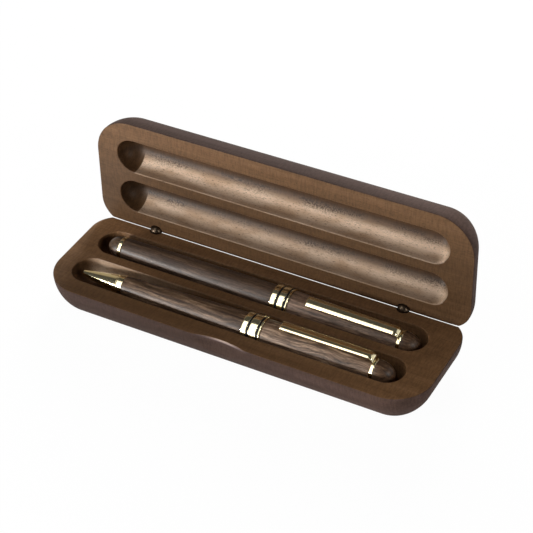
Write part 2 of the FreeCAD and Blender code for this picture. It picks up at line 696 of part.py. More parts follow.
def feed():
    """The black ink feed under the nib, flat-topped, tapered and finned below."""
    tail = SECTION_FRONT - NIB_TAIL
    end = SECTION_FRONT + NIB_LENGTH - FEED_SHORTFALL
    bar = rod(tail, end, NIB_RADIUS - NIB_SHEET - GLUE_GAP)
    flat = box(tail, SECTION_FRONT, -NIB_RADIUS, NIB_RADIUS, -GLUE_GAP, 0)
    below = box(tail, SECTION_FRONT, -NIB_RADIUS, NIB_RADIUS, -NIB_RADIUS, -GLUE_GAP)
    lower = rod(tail, end, NIB_RADIUS).common(below)
    bar = bar.fuse(lower).cut(flat)
    slope = Part.makePolygon([
        Vector(SECTION_FRONT, 0, -NIB_RADIUS),
        Vector(end, 0, 0),
        Vector(end, 0, -2 * NIB_RADIUS),
        Vector(SECTION_FRONT, 0, -2 * NIB_RADIUS),
        Vector(SECTION_FRONT, 0, -NIB_RADIUS),
    ])
    wedge = Part.Face(slope).extrude(ACROSS * 2 * NIB_RADIUS)
    wedge.translate(ACROSS * -NIB_RADIUS)
    bar = bar.cut(wedge)
    for number in range(FEED_FIN_COUNT):
        x = SECTION_FRONT + FEED_FIN_PITCH * (number + 1)
        ring = tube(x, x + FEED_FIN_SLOT, 2 * NIB_RADIUS, NIB_RADIUS - FEED_FIN_DEPTH)
        below = box(x, x + FEED_FIN_SLOT, -NIB_RADIUS, NIB_RADIUS, -2 * NIB_RADIUS, 0)
        bar = bar.cut(ring.common(below))
    return bar


def converter_start():
    """The front end of the converter, pushed half-way into the section's spigot."""
    return CAP_BAND_AT - CAP_SEAT_GAP + RUNNING_GAP - SECTION_SPIGOT_LENGTH / 2


def knob_hollow():
    """The knob's bore takes the rod's whole travel."""
    return PISTON_TRAVEL + ROD_ENGAGED + ROD_END_ROOM


def converter_back():
    """The converter is as long as the barrel leaves room for behind it."""
    return BARREL_AT + BUSH_LENGTH + KNOB_END_ROOM + KNOB_WALL + knob_hollow() + KNOB_GAP


def converter_tube():
    """A clear tube with a neck that fits the section and a closed back that guides the rod."""
    spigot_at = converter_start() - SECTION_SPIGOT_LENGTH / 2
    body = rod(converter_back(), spigot_at - GLUE_GAP, CONVERTER_RADIUS)
    body = body.fuse(rod(spigot_at - GLUE_GAP, converter_start() - GLUE_GAP, CONVERTER_NECK))
    bore = CONVERTER_NECK - CONVERTER_WALL
    body = body.cut(rod(converter_back() + CONVERTER_WALL, converter_start(), bore))
    guide = rod(converter_back(), converter_back() + CONVERTER_WALL, PISTON_ROD_RADIUS + RUNNING_GAP)
    return body.cut(guide).removeSplitter()


def converter_piston():
    head_right = converter_start() - PISTON_FROM_MOUTH
    head_left = head_right - PISTON_LENGTH
    head = rod(head_left, head_right, CONVERTER_NECK - CONVERTER_WALL - RUNNING_GAP)
    rod_end = converter_back() - KNOB_GAP - PISTON_TRAVEL - ROD_ENGAGED
    return head.fuse(rod(rod_end, head_left, PISTON_ROD_RADIUS)).removeSplitter()


def converter_knob():
    """A fluted knob behind the converter, hollow for the piston's rod."""
    right = converter_back() - KNOB_GAP
    length = knob_hollow() + KNOB_WALL
    left = right - length
    bore = rod(right - knob_hollow(), right, PISTON_ROD_RADIUS + RUNNING_GAP)
    knob = rod(left, right, KNOB_RADIUS).cut(bore)
    for number in range(KNOB_FLUTES):
        flute = Part.makeCylinder(KNOB_FLUTE_RADIUS, length, Vector(left, KNOB_RADIUS, 0), ALONG)
        flute.rotate(ORIGIN, ALONG, 360.0 * number / KNOB_FLUTES)
        knob = knob.cut(flute)
    return knob


def cap_shell():
    wood = swollen(CAP_AT, CAP_LARGE_RADIUS, CAP_RING_AT, CAP_SMALL_RADIUS, SWELL)
    return wood.cut(rod(CAP_AT, CAP_RING_AT, CAP_WOOD_BORE))


def cap_liner():
    return tube(CAP_BAND_AT, CAP_RING_AT, CAP_LINER_RADIUS, CAP_LINER_BORE)


def inner_cap():
    """A black thimble that seals the nib."""
    end = CAP_RING_AT - BUSH_LENGTH - GLUE_GAP
    start = end - INNER_CAP_LENGTH
    outer = CAP_LINER_BORE - GLUE_GAP
    return rod(start, end, outer).cut(rod(start, end - INNER_CAP_WALL, outer - INNER_CAP_WALL))


def cap_clip():
    foot = CAP_FINIAL_AT - CLIP_REACH + CLIP_FOOT_LENGTH / 2
    touch = barrel_radius(foot, CAP_AT, CAP_LARGE_RADIUS, CAP_RING_AT, CAP_SMALL_RADIUS)
    return clip(CAP_RING_AT, touch, CAP_CLIP_TURN)


def opened(shape):
    """Swing a piece of the closed lid about the hinge pins to its open rest."""
    placed = shape.copy()
    placed.rotate(Vector(0, PIN_Y, SEAM_Z), ALONG, -LID_OPEN_ANGLE)
    return placed


def raised(shape):
    placed = shape.copy()
    placed.translate(UP * SEAM_Z)
    return placed


def case_parts():
    parts = {"case_base": raised(case_half(0, True))}
    lid = case_half(LID_CHANNEL_SHIFT, False).mirror(ORIGIN, UP)
    parts["case_lid"] = opened(raised(lid))
    for side, x in zip(("left", "right"), hinge_places()):
        parts[side + "_hinge_base_leaf"] = raised(at_hinge(fork_leaf(), x, -HINGE_LEAN))
        parts[side + "_hinge_lid_leaf"] = opened(raised(at_hinge(tongue_leaf(), x, HINGE_LEAN - HALF_TURN)))
        parts[side + "_hinge_pin"] = raised(at_hinge(hinge_pin(), x, 0))
    return parts


def ballpoint_parts():
    pieces = {
        "ballpoint_tip": ballpoint_tip(),
        "ballpoint_lower_barrel": ballpoint_lower_barrel(),
        "ballpoint_lower_liner": ballpoint_lower_liner(),
        "ballpoint_refill": ballpoint_refill(),
        "ballpoint_refill_holder": refill_holder(),
        "ballpoint_twist_mechanism": twist_mechanism(),
        "ballpoint_band": band(BALLPOINT_BAND_AT, BALLPOINT_BAND_LENGTH, WOOD_BORE),
        "ballpoint_band_inlays": band_inlays(BALLPOINT_BAND_AT, BALLPOINT_BAND_LENGTH),
        "ballpoint_upper_barrel": ballpoint_upper_barrel(),
        "ballpoint_upper_liner": ballpoint_upper_liner(),
        "ballpoint_clip": ballpoint_clip(),
        "ballpoint_finial": finial(BALLPOINT_FINIAL_AT, CAP_SMALL_RADIUS, BALLPOINT_FINIAL_LENGTH),
        "ballpoint_finial_screw": finial_screw(BALLPOINT_RING_AT, LINER_BORE - GLUE_GAP),
    }
    return {name: ballpoint_seated(shape) for name, shape in pieces.items()}


def fountain_parts():
    pieces = {
        "pen_barrel_end": barrel_end(),
        "pen_barrel_ring": barrel_ring(),
        "pen_barrel_screw": barrel_screw(),
        "pen_barrel": barrel_wood(),
        "pen_barrel_liner": barrel_liner(),
        "pen_section": section(),
        "pen_nib": nib(),
        "pen_feed": feed(),
        "converter_tube": converter_tube(),
        "converter_piston": converter_piston(),
        "converter_knob": converter_knob(),
        "cap_band": band(CAP_BAND_AT, CAP_BAND_LENGTH, CAP_WOOD_BORE),
        "cap_band_inlays": band_inlays(CAP_BAND_AT, CAP_BAND_LENGTH),
        "cap_shell": cap_shell(),
        "cap_liner": cap_liner(),
        "inner_cap": inner_cap(),
        "cap_clip": cap_clip(),
        "cap_finial": finial(CAP_FINIAL_AT, CAP_SMALL_RADIUS, CAP_FINIAL_LENGTH),
        "cap_finial_screw": finial_screw(CAP_RING_AT, CAP_LINER_BORE - GLUE_GAP),
    }
    return {name: fountain_seated(shape) for name, shape in pieces.items()}


os.makedirs("parts", exist_ok=True)
for group in (case_parts(), ballpoint_parts(), fountain_parts()):
    for name, shape in group.items():
        shape.exportStep("parts/" + name + ".step")
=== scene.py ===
"""A hinged wooden case holding a fountain pen and a twist ballpoint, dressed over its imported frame."""
import json
import math

import bmesh
import bpy
import numpy as np
from mathutils import Matrix, Vector
from mathutils.geometry import delaunay_2d_cdt


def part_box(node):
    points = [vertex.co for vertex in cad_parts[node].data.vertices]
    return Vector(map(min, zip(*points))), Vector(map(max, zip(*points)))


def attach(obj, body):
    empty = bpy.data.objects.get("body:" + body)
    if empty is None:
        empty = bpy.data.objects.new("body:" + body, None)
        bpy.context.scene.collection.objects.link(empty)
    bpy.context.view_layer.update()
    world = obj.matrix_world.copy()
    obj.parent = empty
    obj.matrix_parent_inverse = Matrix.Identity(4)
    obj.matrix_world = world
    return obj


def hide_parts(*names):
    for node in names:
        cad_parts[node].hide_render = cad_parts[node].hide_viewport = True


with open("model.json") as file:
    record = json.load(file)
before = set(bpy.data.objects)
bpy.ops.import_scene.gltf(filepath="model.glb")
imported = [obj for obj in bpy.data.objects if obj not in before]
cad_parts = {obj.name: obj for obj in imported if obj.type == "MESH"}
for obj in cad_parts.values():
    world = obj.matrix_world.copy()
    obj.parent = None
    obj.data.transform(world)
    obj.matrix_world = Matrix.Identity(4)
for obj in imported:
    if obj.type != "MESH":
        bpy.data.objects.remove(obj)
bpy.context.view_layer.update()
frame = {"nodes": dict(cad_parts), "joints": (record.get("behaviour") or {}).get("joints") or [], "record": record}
joints = {joint["name"]: joint for joint in frame["joints"]}


# Case base: a block of dark-stained hardwood, routed with two round-bottomed channels for the pens.
# Its front and sides swell out to the seam, its back edge is bevelled for the hinges, and a shallow
# thumb notch is sawn in the front edge.
base_low, base_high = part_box("case_base")
HALF_LENGTH = base_high.x
FRONT_Y = base_low.y
BACK_Y = base_high.y
SEAM_Z = base_high.z
HALF_HEIGHT = base_high.z - base_low.z
SIDE_ARC = 0.020
BOTTOM_ROUND = 0.005
FRONT_CORNER = 0.0165
BACK_CORNER = 0.0112
BACK_BEVEL = 0.0022
RIM = 0.0004
RIM_STEPS = 7
RIM_BORDER = 0.0003
BEVEL_EDGE_SHARE = 0.06
NOTCH_WIDTH = 0.0234
NOTCH_DEPTH = 0.0015
CHANNEL_RADIUS = 0.0076
CHANNEL_DEPTH = 0.00975
CHANNEL_LEFT = -0.0768
CHANNEL_RIGHT = 0.0732
REAR_CHANNEL_Y = joints["barrel_unscrew"]["pos_m"][1]
FRONT_CHANNEL_Y = joints["ballpoint_twist"]["pos_m"][1]
SEAM_PLAY = 0.00002
# The next four set painted light and shade over each half, and its value in the base's hinge seats.
SHADING_SLANT = 0.32
ENDS_SHADING = 0.25
FACE_SHADING_EDGE = 1.03
BASE_CUT_SHADING = 1.1
CHANNEL_RIM_ROWS = 5
WALL_RIM_ROWS = 3
# Where the channels' paler wood peaks in a painted sheen, how wide the flank marks spread, and how the paler wood
# gives way to painted shadow at the right ends.
SHEEN_FLANK = 0.78
FLANK_SPREAD = 0.24
SHADOW_FADE = 0.05
# A painted highlight along the hinge-side rim of each channel.
RIM_HIGHLIGHT_FLANK = 0.7
RIM_HIGHLIGHT = 0.35
TORN_FLANK = 0.45
# Painted shade along the channel floor, and painted shadow in the left ends.
SHADE_FLANK = 0.18
END_SHADE_STRENGTH = 0.5
# A painted highlight on the thumb notch's rim.
NOTCH_HIGHLIGHT = 0.6
NOTCH_HIGHLIGHT_AT = 0.002
NOTCH_HIGHLIGHT_REACH = 0.007
# How sharp the painted shadow's edge is at the channels' ends.
PAINTED_SHADOW_EDGE = 0.0004
WELD = 1e-7
SHARP_ANGLE = math.radians(32)


def wall_profile():
    """Depth below the seam, inset from the plan and lip down the wall.

    A flat border, a quarter circle of radius RIM over the rim, a circle of radius SIDE_ARC that is
    upright at the seam, and a circle of radius BOTTOM_ROUND tangent to it and to the underside.
    The lip is the inset of the border and the rim alone.
    """
    small_depth = HALF_HEIGHT - BOTTOM_ROUND
    reach = math.sqrt((SIDE_ARC - BOTTOM_ROUND) ** 2 - small_depth ** 2)
    meet = math.atan2(small_depth, reach)
    rim = np.linspace(0, math.pi / 2, RIM_STEPS)
    arc = np.linspace(math.asin(RIM / SIDE_ARC), meet, 22)[1:]
    arc = np.sort(np.append(arc, math.asin(BACK_BEVEL / SIDE_ARC)))
    small = np.linspace(meet, math.pi / 2, 12)[1:]
    depth = np.concatenate([
        [0], RIM * (1 - np.cos(rim)), SIDE_ARC * np.sin(arc), small_depth + BOTTOM_ROUND * np.sin(small),
    ])
    lip = np.zeros_like(depth)
    lip[0] = RIM + RIM_BORDER
    lip[1:1 + RIM_STEPS] = RIM * (1 - np.sin(rim))
    inset = lip.copy()
    inset[1 + RIM_STEPS:] = np.concatenate([
        SIDE_ARC * (1 - np.cos(arc)), SIDE_ARC - reach - BOTTOM_ROUND * np.cos(small),
    ])
    return depth[:, None], inset[:, None], lip[:, None]


def wall_grid(notch_depth):
    """Plan positions and depth of the wall: the profile's rows carried round a rounded rectangle.

    Each row is that rectangle drawn in by the row's inset; the back is drawn in only by the bottom
    round. The bevel keeps y under its 45 degree plane, and the notch keeps y above a large arc.
    """
    depth, inset, lip = wall_profile()
    below = np.clip(depth - (HALF_HEIGHT - BOTTOM_ROUND), 0, BOTTOM_ROUND)
    back_inset = BOTTOM_ROUND - np.sqrt(BOTTOM_ROUND ** 2 - below ** 2)
    half = HALF_LENGTH - inset
    front = FRONT_Y + inset
    back = BACK_Y - back_inset
    front_round = FRONT_CORNER - inset
    back_round = BACK_CORNER - back_inset

    def straight(start, end, count):
        return start + (end - start) * np.linspace(0, 1, count + 2)[None, 1:-1]

    def corner(centre_x, centre_y, radius, first):
        angle = np.radians(np.linspace(first, first + 90, 28))[None]
        return centre_x + radius * np.cos(angle), centre_y + radius * np.sin(angle)

    right_front = corner(half - front_round, front + front_round, front_round, -90)
    right_back = corner(half - back_round, back - back_round, back_round, 0)
    left_back = corner(back_round - half, back - back_round, back_round, 90)
    left_front = corner(front_round - half, front + front_round, front_round, 180)
    side_count, back_count, front_count = 6, 60, 150
    x = np.hstack([
        right_front[0], straight(half, half, side_count), right_back[0],
        straight(right_back[0][:, -1:], left_back[0][:, :1], back_count), left_back[0],
        straight(-half, -half, side_count), left_front[0],
        straight(left_front[0][:, -1:], right_front[0][:, :1], front_count),
    ])
    y = np.hstack([
        right_front[1], straight(right_front[1][:, -1:], right_back[1][:, :1], side_count), right_back[1],
        straight(back, back, back_count), left_back[1],
        straight(left_back[1][:, -1:], left_front[1][:, :1], side_count), left_front[1],
        straight(front, front, front_count),
    ])
    y = np.minimum(y, BACK_Y - BACK_BEVEL + depth - BEVEL_EDGE_SHARE * lip)
    if notch_depth:
        radius = (NOTCH_WIDTH ** 2 / 4 + notch_depth ** 2) / (2 * notch_depth)
        arc = np.sqrt(np.maximum(radius ** 2 - x ** 2, 0)) - radius
        y = np.maximum(y, FRONT_Y + notch_depth + arc + lip)
    return x, y, np.broadcast_to(depth, x.shape)


def channel_grid(y_middle, shift):
    """A groove with ball ends: a profile of reach and depth carried round a stadium-shaped path.

    The reach runs from the rim's border in to the spine: a quarter circle of radius RIM, an upright
    wall, and a quarter circle of CHANNEL_RADIUS down to the floor.
    """
    rim = np.linspace(0, math.pi / 2, RIM_STEPS)
    upright = CHANNEL_DEPTH - CHANNEL_RADIUS
    bowl = np.linspace(0, math.pi / 2, 27)
    reach = np.concatenate([
        [CHANNEL_RADIUS + RIM + RIM_BORDER], CHANNEL_RADIUS + RIM * (1 - np.sin(rim)),
        CHANNEL_RADIUS * np.cos(bowl),
    ])[:, None]
    depth = np.concatenate([[0], RIM * (1 - np.cos(rim)), upright + CHANNEL_RADIUS * np.sin(bowl)])[:, None]
    turn = np.radians(np.linspace(-90, 90, 49))
    left = CHANNEL_LEFT + shift + CHANNEL_RADIUS
    right = CHANNEL_RIGHT + shift - CHANNEL_RADIUS
    run = np.concatenate([[right - PAINTED_SHADOW_EDGE], np.linspace(right, left, 60)[1:-1], [left + PAINTED_SHADOW_EDGE]])
    spine = np.concatenate([np.full(turn.size, right), run])
    spine = np.concatenate([spine, (left + right) - spine])[None]
    along = np.concatenate([np.cos(turn), np.zeros(run.size)])
    across = np.concatenate([np.sin(turn), np.ones(run.size)])
    along = np.concatenate([along, -along])[None]
    across = np.concatenate([across, -across])[None]
    x = spine + reach * along
    y = y_middle + reach * across
    return x, y, np.broadcast_to(depth, x.shape)


def quads(rows, columns, first=0, close_rows=False):
    """Vertex numbers of a grid's quads: the columns close round, and so do the rows if asked."""
    row = np.arange(rows if close_rows else rows - 1)[:, None]
    column = np.arange(columns)[None]
    after = (column + 1) % columns
    below = (row + 1) % rows
    corners = (
        row * columns + column, row * columns + after,
        below * columns + after, below * columns + column,
    )
    return first + np.stack(corners, axis=-1).reshape(-1, 4)


def welded(name, points, faces, marks=None):
    """A mesh object from points and faces, with doubles merged, normals outwards and smooth sides."""
    mesh = bpy.data.meshes.new(name)
    mesh.from_pydata(points.reshape(-1, 3).tolist(), [], [tuple(face) for face in faces])
    for mark, values in (marks or {}).items():
        mesh.attributes.new(mark, "FLOAT", "POINT").data.foreach_set("value", values.astype(np.float32))
    shape = bmesh.new()
    shape.from_mesh(mesh)
    bmesh.ops.remove_doubles(shape, verts=shape.verts, dist=WELD)
    bmesh.ops.recalc_face_normals(shape, faces=shape.faces)
    shape.to_mesh(mesh)
    shape.free()
    mesh.shade_smooth()
    mesh.set_sharp_from_angle(angle=SHARP_ANGLE)
    piece = bpy.data.objects.new(name, mesh)
    bpy.context.scene.collection.objects.link(piece)
    return piece


def flat_face(loops):
    """Triangles that fill the plan between the first loop and the loops inside it.

    A triangle with all its corners on one inner loop lies in a channel's mouth and is left out.
    """
    sizes = [len(loop) for loop in loops]
    first = np.concatenate([[0], np.cumsum(sizes)])
    edges = [
        (start + place, start + (place + 1) % size)
        for start, size in zip(first, sizes)
        for place in range(size)
    ]
    plan = [Vector(point) for point in np.vstack(loops) / RIM]
    triangles_inside = 1
    filled = delaunay_2d_cdt(plan, edges, [], triangles_inside, WELD)
    source = np.array([numbers[0] for numbers in filled[3]])
    triangles = source[np.array(filled[2])]
    loop_number = np.repeat(np.arange(len(loops)), sizes)[triangles]
    in_mouth = (loop_number == loop_number[:, :1]).all(axis=1) & (loop_number[:, 0] > 0)
    return triangles[~in_mouth]


def case_half(name, notch_depth, channel_shift, paleness_and_sheen, left_end_shadow, shadow_from, shading_slope, shade, place):
    """One half of the case: wall, underside, flat face and two channels, welded into one skin.

    The rear and the front channel are paler by the two given amounts, brightest in a painted sheen on
    the flank by the hinges, as exp(-((y / radius - flank) / spread) ** 2), with a painted highlight on
    that flank's rim. Painted shadow keeps each left end dark for a given distance, lets the paler wood in
    over a given length, and takes it away again over a set length up to a given point along X. Painted
    shade darkens the left ends and the floor; between them the grain is torn. A painted highlight lies
    on the thumb notch's rim. Painted light and shade lean over the half, in its half sizes, as
    1 + slant * y * (0.5 - x) - slope * x + ends * x ** 2. A shaded half has painted shade on its face
    instead, darker from its front edge to its middle.
    """
    channels = [channel_grid(y_middle, channel_shift) for y_middle in (REAR_CHANNEL_Y, FRONT_CHANNEL_Y)]
    grids = [wall_grid(notch_depth), *channels]
    points = [place(*grid) for grid in grids]
    first = np.concatenate([[0], np.cumsum([grid[0].size for grid in grids])])
    faces = [face for grid, start in zip(grids, first) for face in quads(*grid[0].shape, start)]
    rows, columns = grids[0][0].shape
    faces.append(np.arange(columns) + (rows - 1) * columns)
    borders = np.concatenate([np.arange(grid[0].shape[1]) + start for grid, start in zip(grids, first)])
    loops = [np.column_stack([grid[0][0], grid[1][0]]) for grid in grids]
    faces.extend(borders[flat_face(loops)])

    def joined(*fields):
        return np.concatenate([field.ravel() for field in fields])

    def near(flank, middle):
        return np.exp(-((flank - middle) / FLANK_SPREAD) ** 2)

    wall_x, wall_y, _ = grids[0]
    wall_row = np.arange(rows)[:, None]
    # Painted highlight on the thumb notch's rim, where the darker outside stain is also left off.
    on_notch = (wall_y < 0) * (wall_row > 1) * (wall_row <= RIM_STEPS) * (notch_depth > 0)
    notch_highlight = NOTCH_HIGHLIGHT * np.exp(-((wall_x - NOTCH_HIGHLIGHT_AT) / NOTCH_HIGHLIGHT_REACH) ** 2) * on_notch
    outside = (wall_row > WALL_RIM_ROWS) * (1 - notch_highlight)
    channel_x, channel_y, _ = channels[0]
    # Painted shadow keeps the left ends, and past a point the right ends, without the paler wood.
    from_end = channel_x - CHANNEL_LEFT - channel_shift
    out_of_shadow = np.clip((from_end - left_end_shadow[0]) / left_end_shadow[1], 0, 1)
    end_shade = END_SHADE_STRENGTH * (1 - out_of_shadow)
    out_of_shadow = out_of_shadow * np.clip((shadow_from - channel_x) / SHADOW_FADE, 0, 1)
    flank = (channel_y - REAR_CHANNEL_Y) / CHANNEL_RADIUS
    row = np.arange(flank.shape[0])[:, None]
    in_bowl = row > CHANNEL_RIM_ROWS
    # A painted highlight along the hinge-side rim; the paler wood peaks in a painted sheen on that flank.
    rim_highlight = RIM_HIGHLIGHT * (flank > RIM_HIGHLIGHT_FLANK) * (row > 1)
    pale_and_sheen = np.where(in_bowl, near(flank, SHEEN_FLANK), rim_highlight) * out_of_shadow
    torn = in_bowl * near(flank, TORN_FLANK) * out_of_shadow
    # Painted shade along the floor and in the left ends.
    painted_shade = in_bowl * np.maximum(near(flank, SHADE_FLANK), end_shade)
    along = joined(*(grid[0] for grid in grids)) / HALF_LENGTH
    across = joined(*(grid[1] for grid in grids)) / BACK_Y
    outer = joined(outside, 0 * pale_and_sheen, 0 * pale_and_sheen)
    # Painted light and shade over the half; a shaded half's face has painted shade instead, darker from its front
    # edge to its middle.
    slant_shading = 1 + SHADING_SLANT * across * (0.5 - along) - shading_slope * along + ENDS_SHADING * along ** 2
    face = FACE_SHADING_EDGE - shade * np.clip(1 + across, 0, 1) if shade else slant_shading
    marks = {
        "painted_shading": np.where(outer > 0, slant_shading, face),
        "outside": outer,
        "pale_and_sheen": joined(notch_highlight, paleness_and_sheen[0] * pale_and_sheen, paleness_and_sheen[1] * pale_and_sheen),
        "torn": joined(0 * outside, torn, torn),
        "painted_shade": joined(0 * outside, painted_shade, painted_shade),
    }
    return welded(name, np.vstack([grid.reshape(-1, 3) for grid in points]), faces, marks)


def in_base(x, y, depth):
    """The base hangs below the seam, and its face keeps a hairline of play there."""
    return np.stack([x, y, SEAM_Z - np.maximum(depth, SEAM_PLAY)], axis=-1)


def add(tree, kind, sockets=None, **settings):
    """A shader node with its settings and sockets filled in; returns its outputs."""
    made = tree.nodes.new(kind)
    for key, value in settings.items():
        setattr(made, key, value)
    for key, value in (sockets or {}).items():
        if isinstance(value, bpy.types.NodeSocket):
            tree.links.new(value, made.inputs[key])
        else:
            made.inputs[key].default_value = value
    return made.outputs


def grain(tree, place, length, width, detail=3.0, distortion=0.0):
    """Noise drawn out along X: length and width are the size of one streak in metres."""
    scale = (1 / length, 1 / width, 1 / width)
    stretched = add(tree, "ShaderNodeMapping", {"Vector": place, "Scale": scale})["Vector"]
    sockets = {"Vector": stretched, "Scale": 1.0, "Detail": detail, "Distortion": distortion}
    return add(tree, "ShaderNodeTexNoise", sockets)["Fac"]


def ramp(tree, factor, *stops):
    """A colour ramp through (place, colour) stops; a number stands for a grey."""
    made = tree.nodes.new("ShaderNodeValToRGB")
    tree.links.new(factor, made.inputs["Fac"])
    elements = made.color_ramp.elements
    while len(elements) < len(stops):
        elements.new(0.5)
    for element, (place, colour) in zip(elements, stops):
        element.position = place
        element.color = (*colour, 1) if isinstance(colour, tuple) else (colour, colour, colour, 1)
    return made.outputs["Color"]


def mixed(tree, blend, factor, first, second):
    """Two colours put together by a blend mode."""
    made = tree.nodes.new("ShaderNodeMix")
    made.data_type = "RGBA"
    made.blend_type = blend
    for socket, value in zip((made.inputs[0], made.inputs[6], made.inputs[7]), (factor, first, second)):
        if isinstance(value, bpy.types.NodeSocket):
            tree.links.new(value, socket)
        else:
            socket.default_value = value if isinstance(value, float) else (*value, 1)
    return made.outputs[2]


def finish(name, **constants):
    """A new material: its node tree and its main shader with the constant sockets set."""
    material = bpy.data.materials.new(name)
    material.use_nodes = True
    shader = material.node_tree.nodes["Principled BSDF"]
    for socket, value in constants.items():
        shader.inputs[socket.replace("_", " ")].default_value = value
    return material, material.node_tree, shader.inputs


def stained_wood():
    """Stained hardwood: fine streaks and pores along X, paler in the channels under a painted sheen and
    painted highlights, with painted light and shade over each half, painted shade in the channels, and
    stained darker outside under a painted grey-purple sheen.
    """
    material, tree, shader = finish("stained_wood", Specular_IOR_Level=0.20)
    place = add(tree, "ShaderNodeTexCoord")["Object"]
    figure = grain(tree, place, 0.060, 0.0040, detail=3.0, distortion=0.4)
    streak = grain(tree, place, 0.012, 0.00060, detail=3.0)
    pore = grain(tree, place, 0.0012, 0.00028, detail=2.0)
    fleck = grain(tree, place, 0.00055, 0.0030, detail=2.0)
    blotch = grain(tree, place, 0.014, 0.0045, detail=3.0)
    colour = ramp(tree, figure, (0.30, (0.135, 0.069, 0.030)), (0.52, (0.157, 0.081, 0.036)),
                  (0.72, (0.179, 0.095, 0.045)))
    colour = mixed(tree, "MULTIPLY", 1.0, colour, ramp(tree, streak, (0.30, 0.88), (0.62, 1.06)))
    colour = mixed(tree, "MULTIPLY", 1.0, colour, ramp(tree, fleck, (0.36, 0.84), (0.60, 1.08)))
    pitted = mixed(tree, "MULTIPLY", 1.0, colour, ramp(tree, pore, (0.30, 0.62), (0.42, 1.0)))
    torn = add(tree, "ShaderNodeAttribute", attribute_name="torn")["Fac"]
    patch = ramp(tree, blotch, (0.44, 0.0), (0.60, 1.0))
    torn = add(tree, "ShaderNodeMath", {0: torn, 1: patch}, operation="MULTIPLY")["Value"]
    speck = grain(tree, place, 0.0006, 0.0006, detail=2.0)
    # Painted light and shade over each half.
    painted_shading = add(tree, "ShaderNodeAttribute", attribute_name="painted_shading")["Color"]
    pitted = mixed(tree, "MULTIPLY", 1.0, pitted, painted_shading)
    # Paler channel wood with a painted sheen and painted highlights.
    pale_and_sheen = add(tree, "ShaderNodeAttribute", attribute_name="pale_and_sheen")["Fac"]
    pale_and_sheen_colour = ramp(tree, blotch, (0.34, (0.62, 0.425, 0.280)), (0.60, (0.85, 0.640, 0.470)))
    pale_and_sheen_colour = mixed(tree, "MULTIPLY", 1.0, pale_and_sheen_colour, ramp(tree, pore, (0.32, 0.42), (0.42, 1.0)))
    pale_and_sheen_colour = mixed(tree, "MULTIPLY", 1.0, pale_and_sheen_colour, ramp(tree, streak, (0.30, 0.90), (0.62, 1.0)))
    colour = mixed(tree, "MIX", pale_and_sheen, pitted, pale_and_sheen_colour)
    # Painted shade in the channels.
    painted_shade = add(tree, "ShaderNodeAttribute", attribute_name="painted_shade")["Fac"]
    colour = mixed(tree, "MULTIPLY", painted_shade, colour, (0.60, 0.56, 0.50))
    dark_specks = ramp(tree, speck, (0.44, (0.30, 0.26, 0.22)), (0.54, (1.0, 1.0, 1.0)))
    colour = mixed(tree, "MULTIPLY", torn, colour, dark_specks)
    outside = add(tree, "ShaderNodeAttribute", attribute_name="outside")["Fac"]
    # The outside is stained darker, and tinted grey-purple as a painted sheen.
    stain_and_sheen = mixed(tree, "MULTIPLY", 1.0, colour, (0.46, 0.51, 0.86))
    colour = mixed(tree, "MIX", outside, colour, stain_and_sheen)
    tree.links.new(colour, shader["Base Color"])
    sheen = mixed(tree, "MIX", outside, ramp(tree, streak, (0.25, 0.48), (0.75, 0.40)), (0.85, 0.85, 0.85))
    tree.links.new(sheen, shader["Roughness"])
    relief = add(tree, "ShaderNodeBump", {"Height": pore, "Strength": 0.2, "Distance": 0.00005})["Normal"]
    tree.links.new(relief, shader["Normal"])
    return material


node_body = {node: body for body, nodes in frame["record"]["behaviour"]["bodies"].items() for node in nodes}
node_slot = {part["node"]: part["material_slot"] for part in frame["record"]["subparts"]}


def stands_for(piece, material, *nodes):
    """Dress a piece and let it ride in place of its CAD nodes."""
    piece.data.materials.clear()
    piece.data.materials.append(material)
    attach(piece, node_body[nodes[0]])
    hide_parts(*nodes)


case_wood = stained_wood()
# The base's channels are pale only towards their left ends; the rest is painted shadow.
base_wood = case_half(
    "base_wood", notch_depth=NOTCH_DEPTH, channel_shift=0.0, paleness_and_sheen=(0.15, 0.9),
    left_end_shadow=(0.002, 0.006), shadow_from=-0.02, shading_slope=-0.08, shade=0.0, place=in_base,
)


# Hinges: two small bronze stem hinges let into the bevelled back edges. Each has a fork on the base
# and a tongue on the lid, turned to a rounded barrel, on a plain pin.
PIN = np.array(joints["lid_hinge"]["pos_m"])
KNUCKLE_RADIUS = 0.00225
KNUCKLE_END = 1.08
POCKET_ROOM = 0.0003
TONGUE_HALF = 0.00085
LUG_PLAY = 0.00005
LUG_WIDTH = 0.0015
LUG_START = TONGUE_HALF + LUG_PLAY
FORK_HALF = LUG_START + LUG_WIDTH
HINGE_PLACES = [sum(corner.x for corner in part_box(f"{side}_hinge_pin")) / 2 for side in ("left", "right")]


def turned(profile, point, axis, across, segments=96):
    """Points of a turned piece: each (station, radius) of the profile swung round the axis."""
    axis = np.asarray(axis, float)
    across = np.asarray(across, float)
    angle = np.linspace(0, 2 * math.pi, segments, endpoint=False)[:, None]
    ring = np.cos(angle) * across + np.sin(angle) * np.cross(axis, across)
    profile = np.asarray(profile, float)
    return np.asarray(point) + profile[:, :1, None] * axis + profile[:, 1:, None] * ring[None]


def turned_piece(name, rings):
    """One welded object from closed turned profiles."""
    first = np.concatenate([[0], np.cumsum([ring.shape[0] * ring.shape[1] for ring in rings])])
    faces = np.vstack([
        quads(ring.shape[0], ring.shape[1], start, close_rows=True) for ring, start in zip(rings, first)
    ])
    return welded(name, np.vstack([ring.reshape(-1, 3) for ring in rings]), faces)


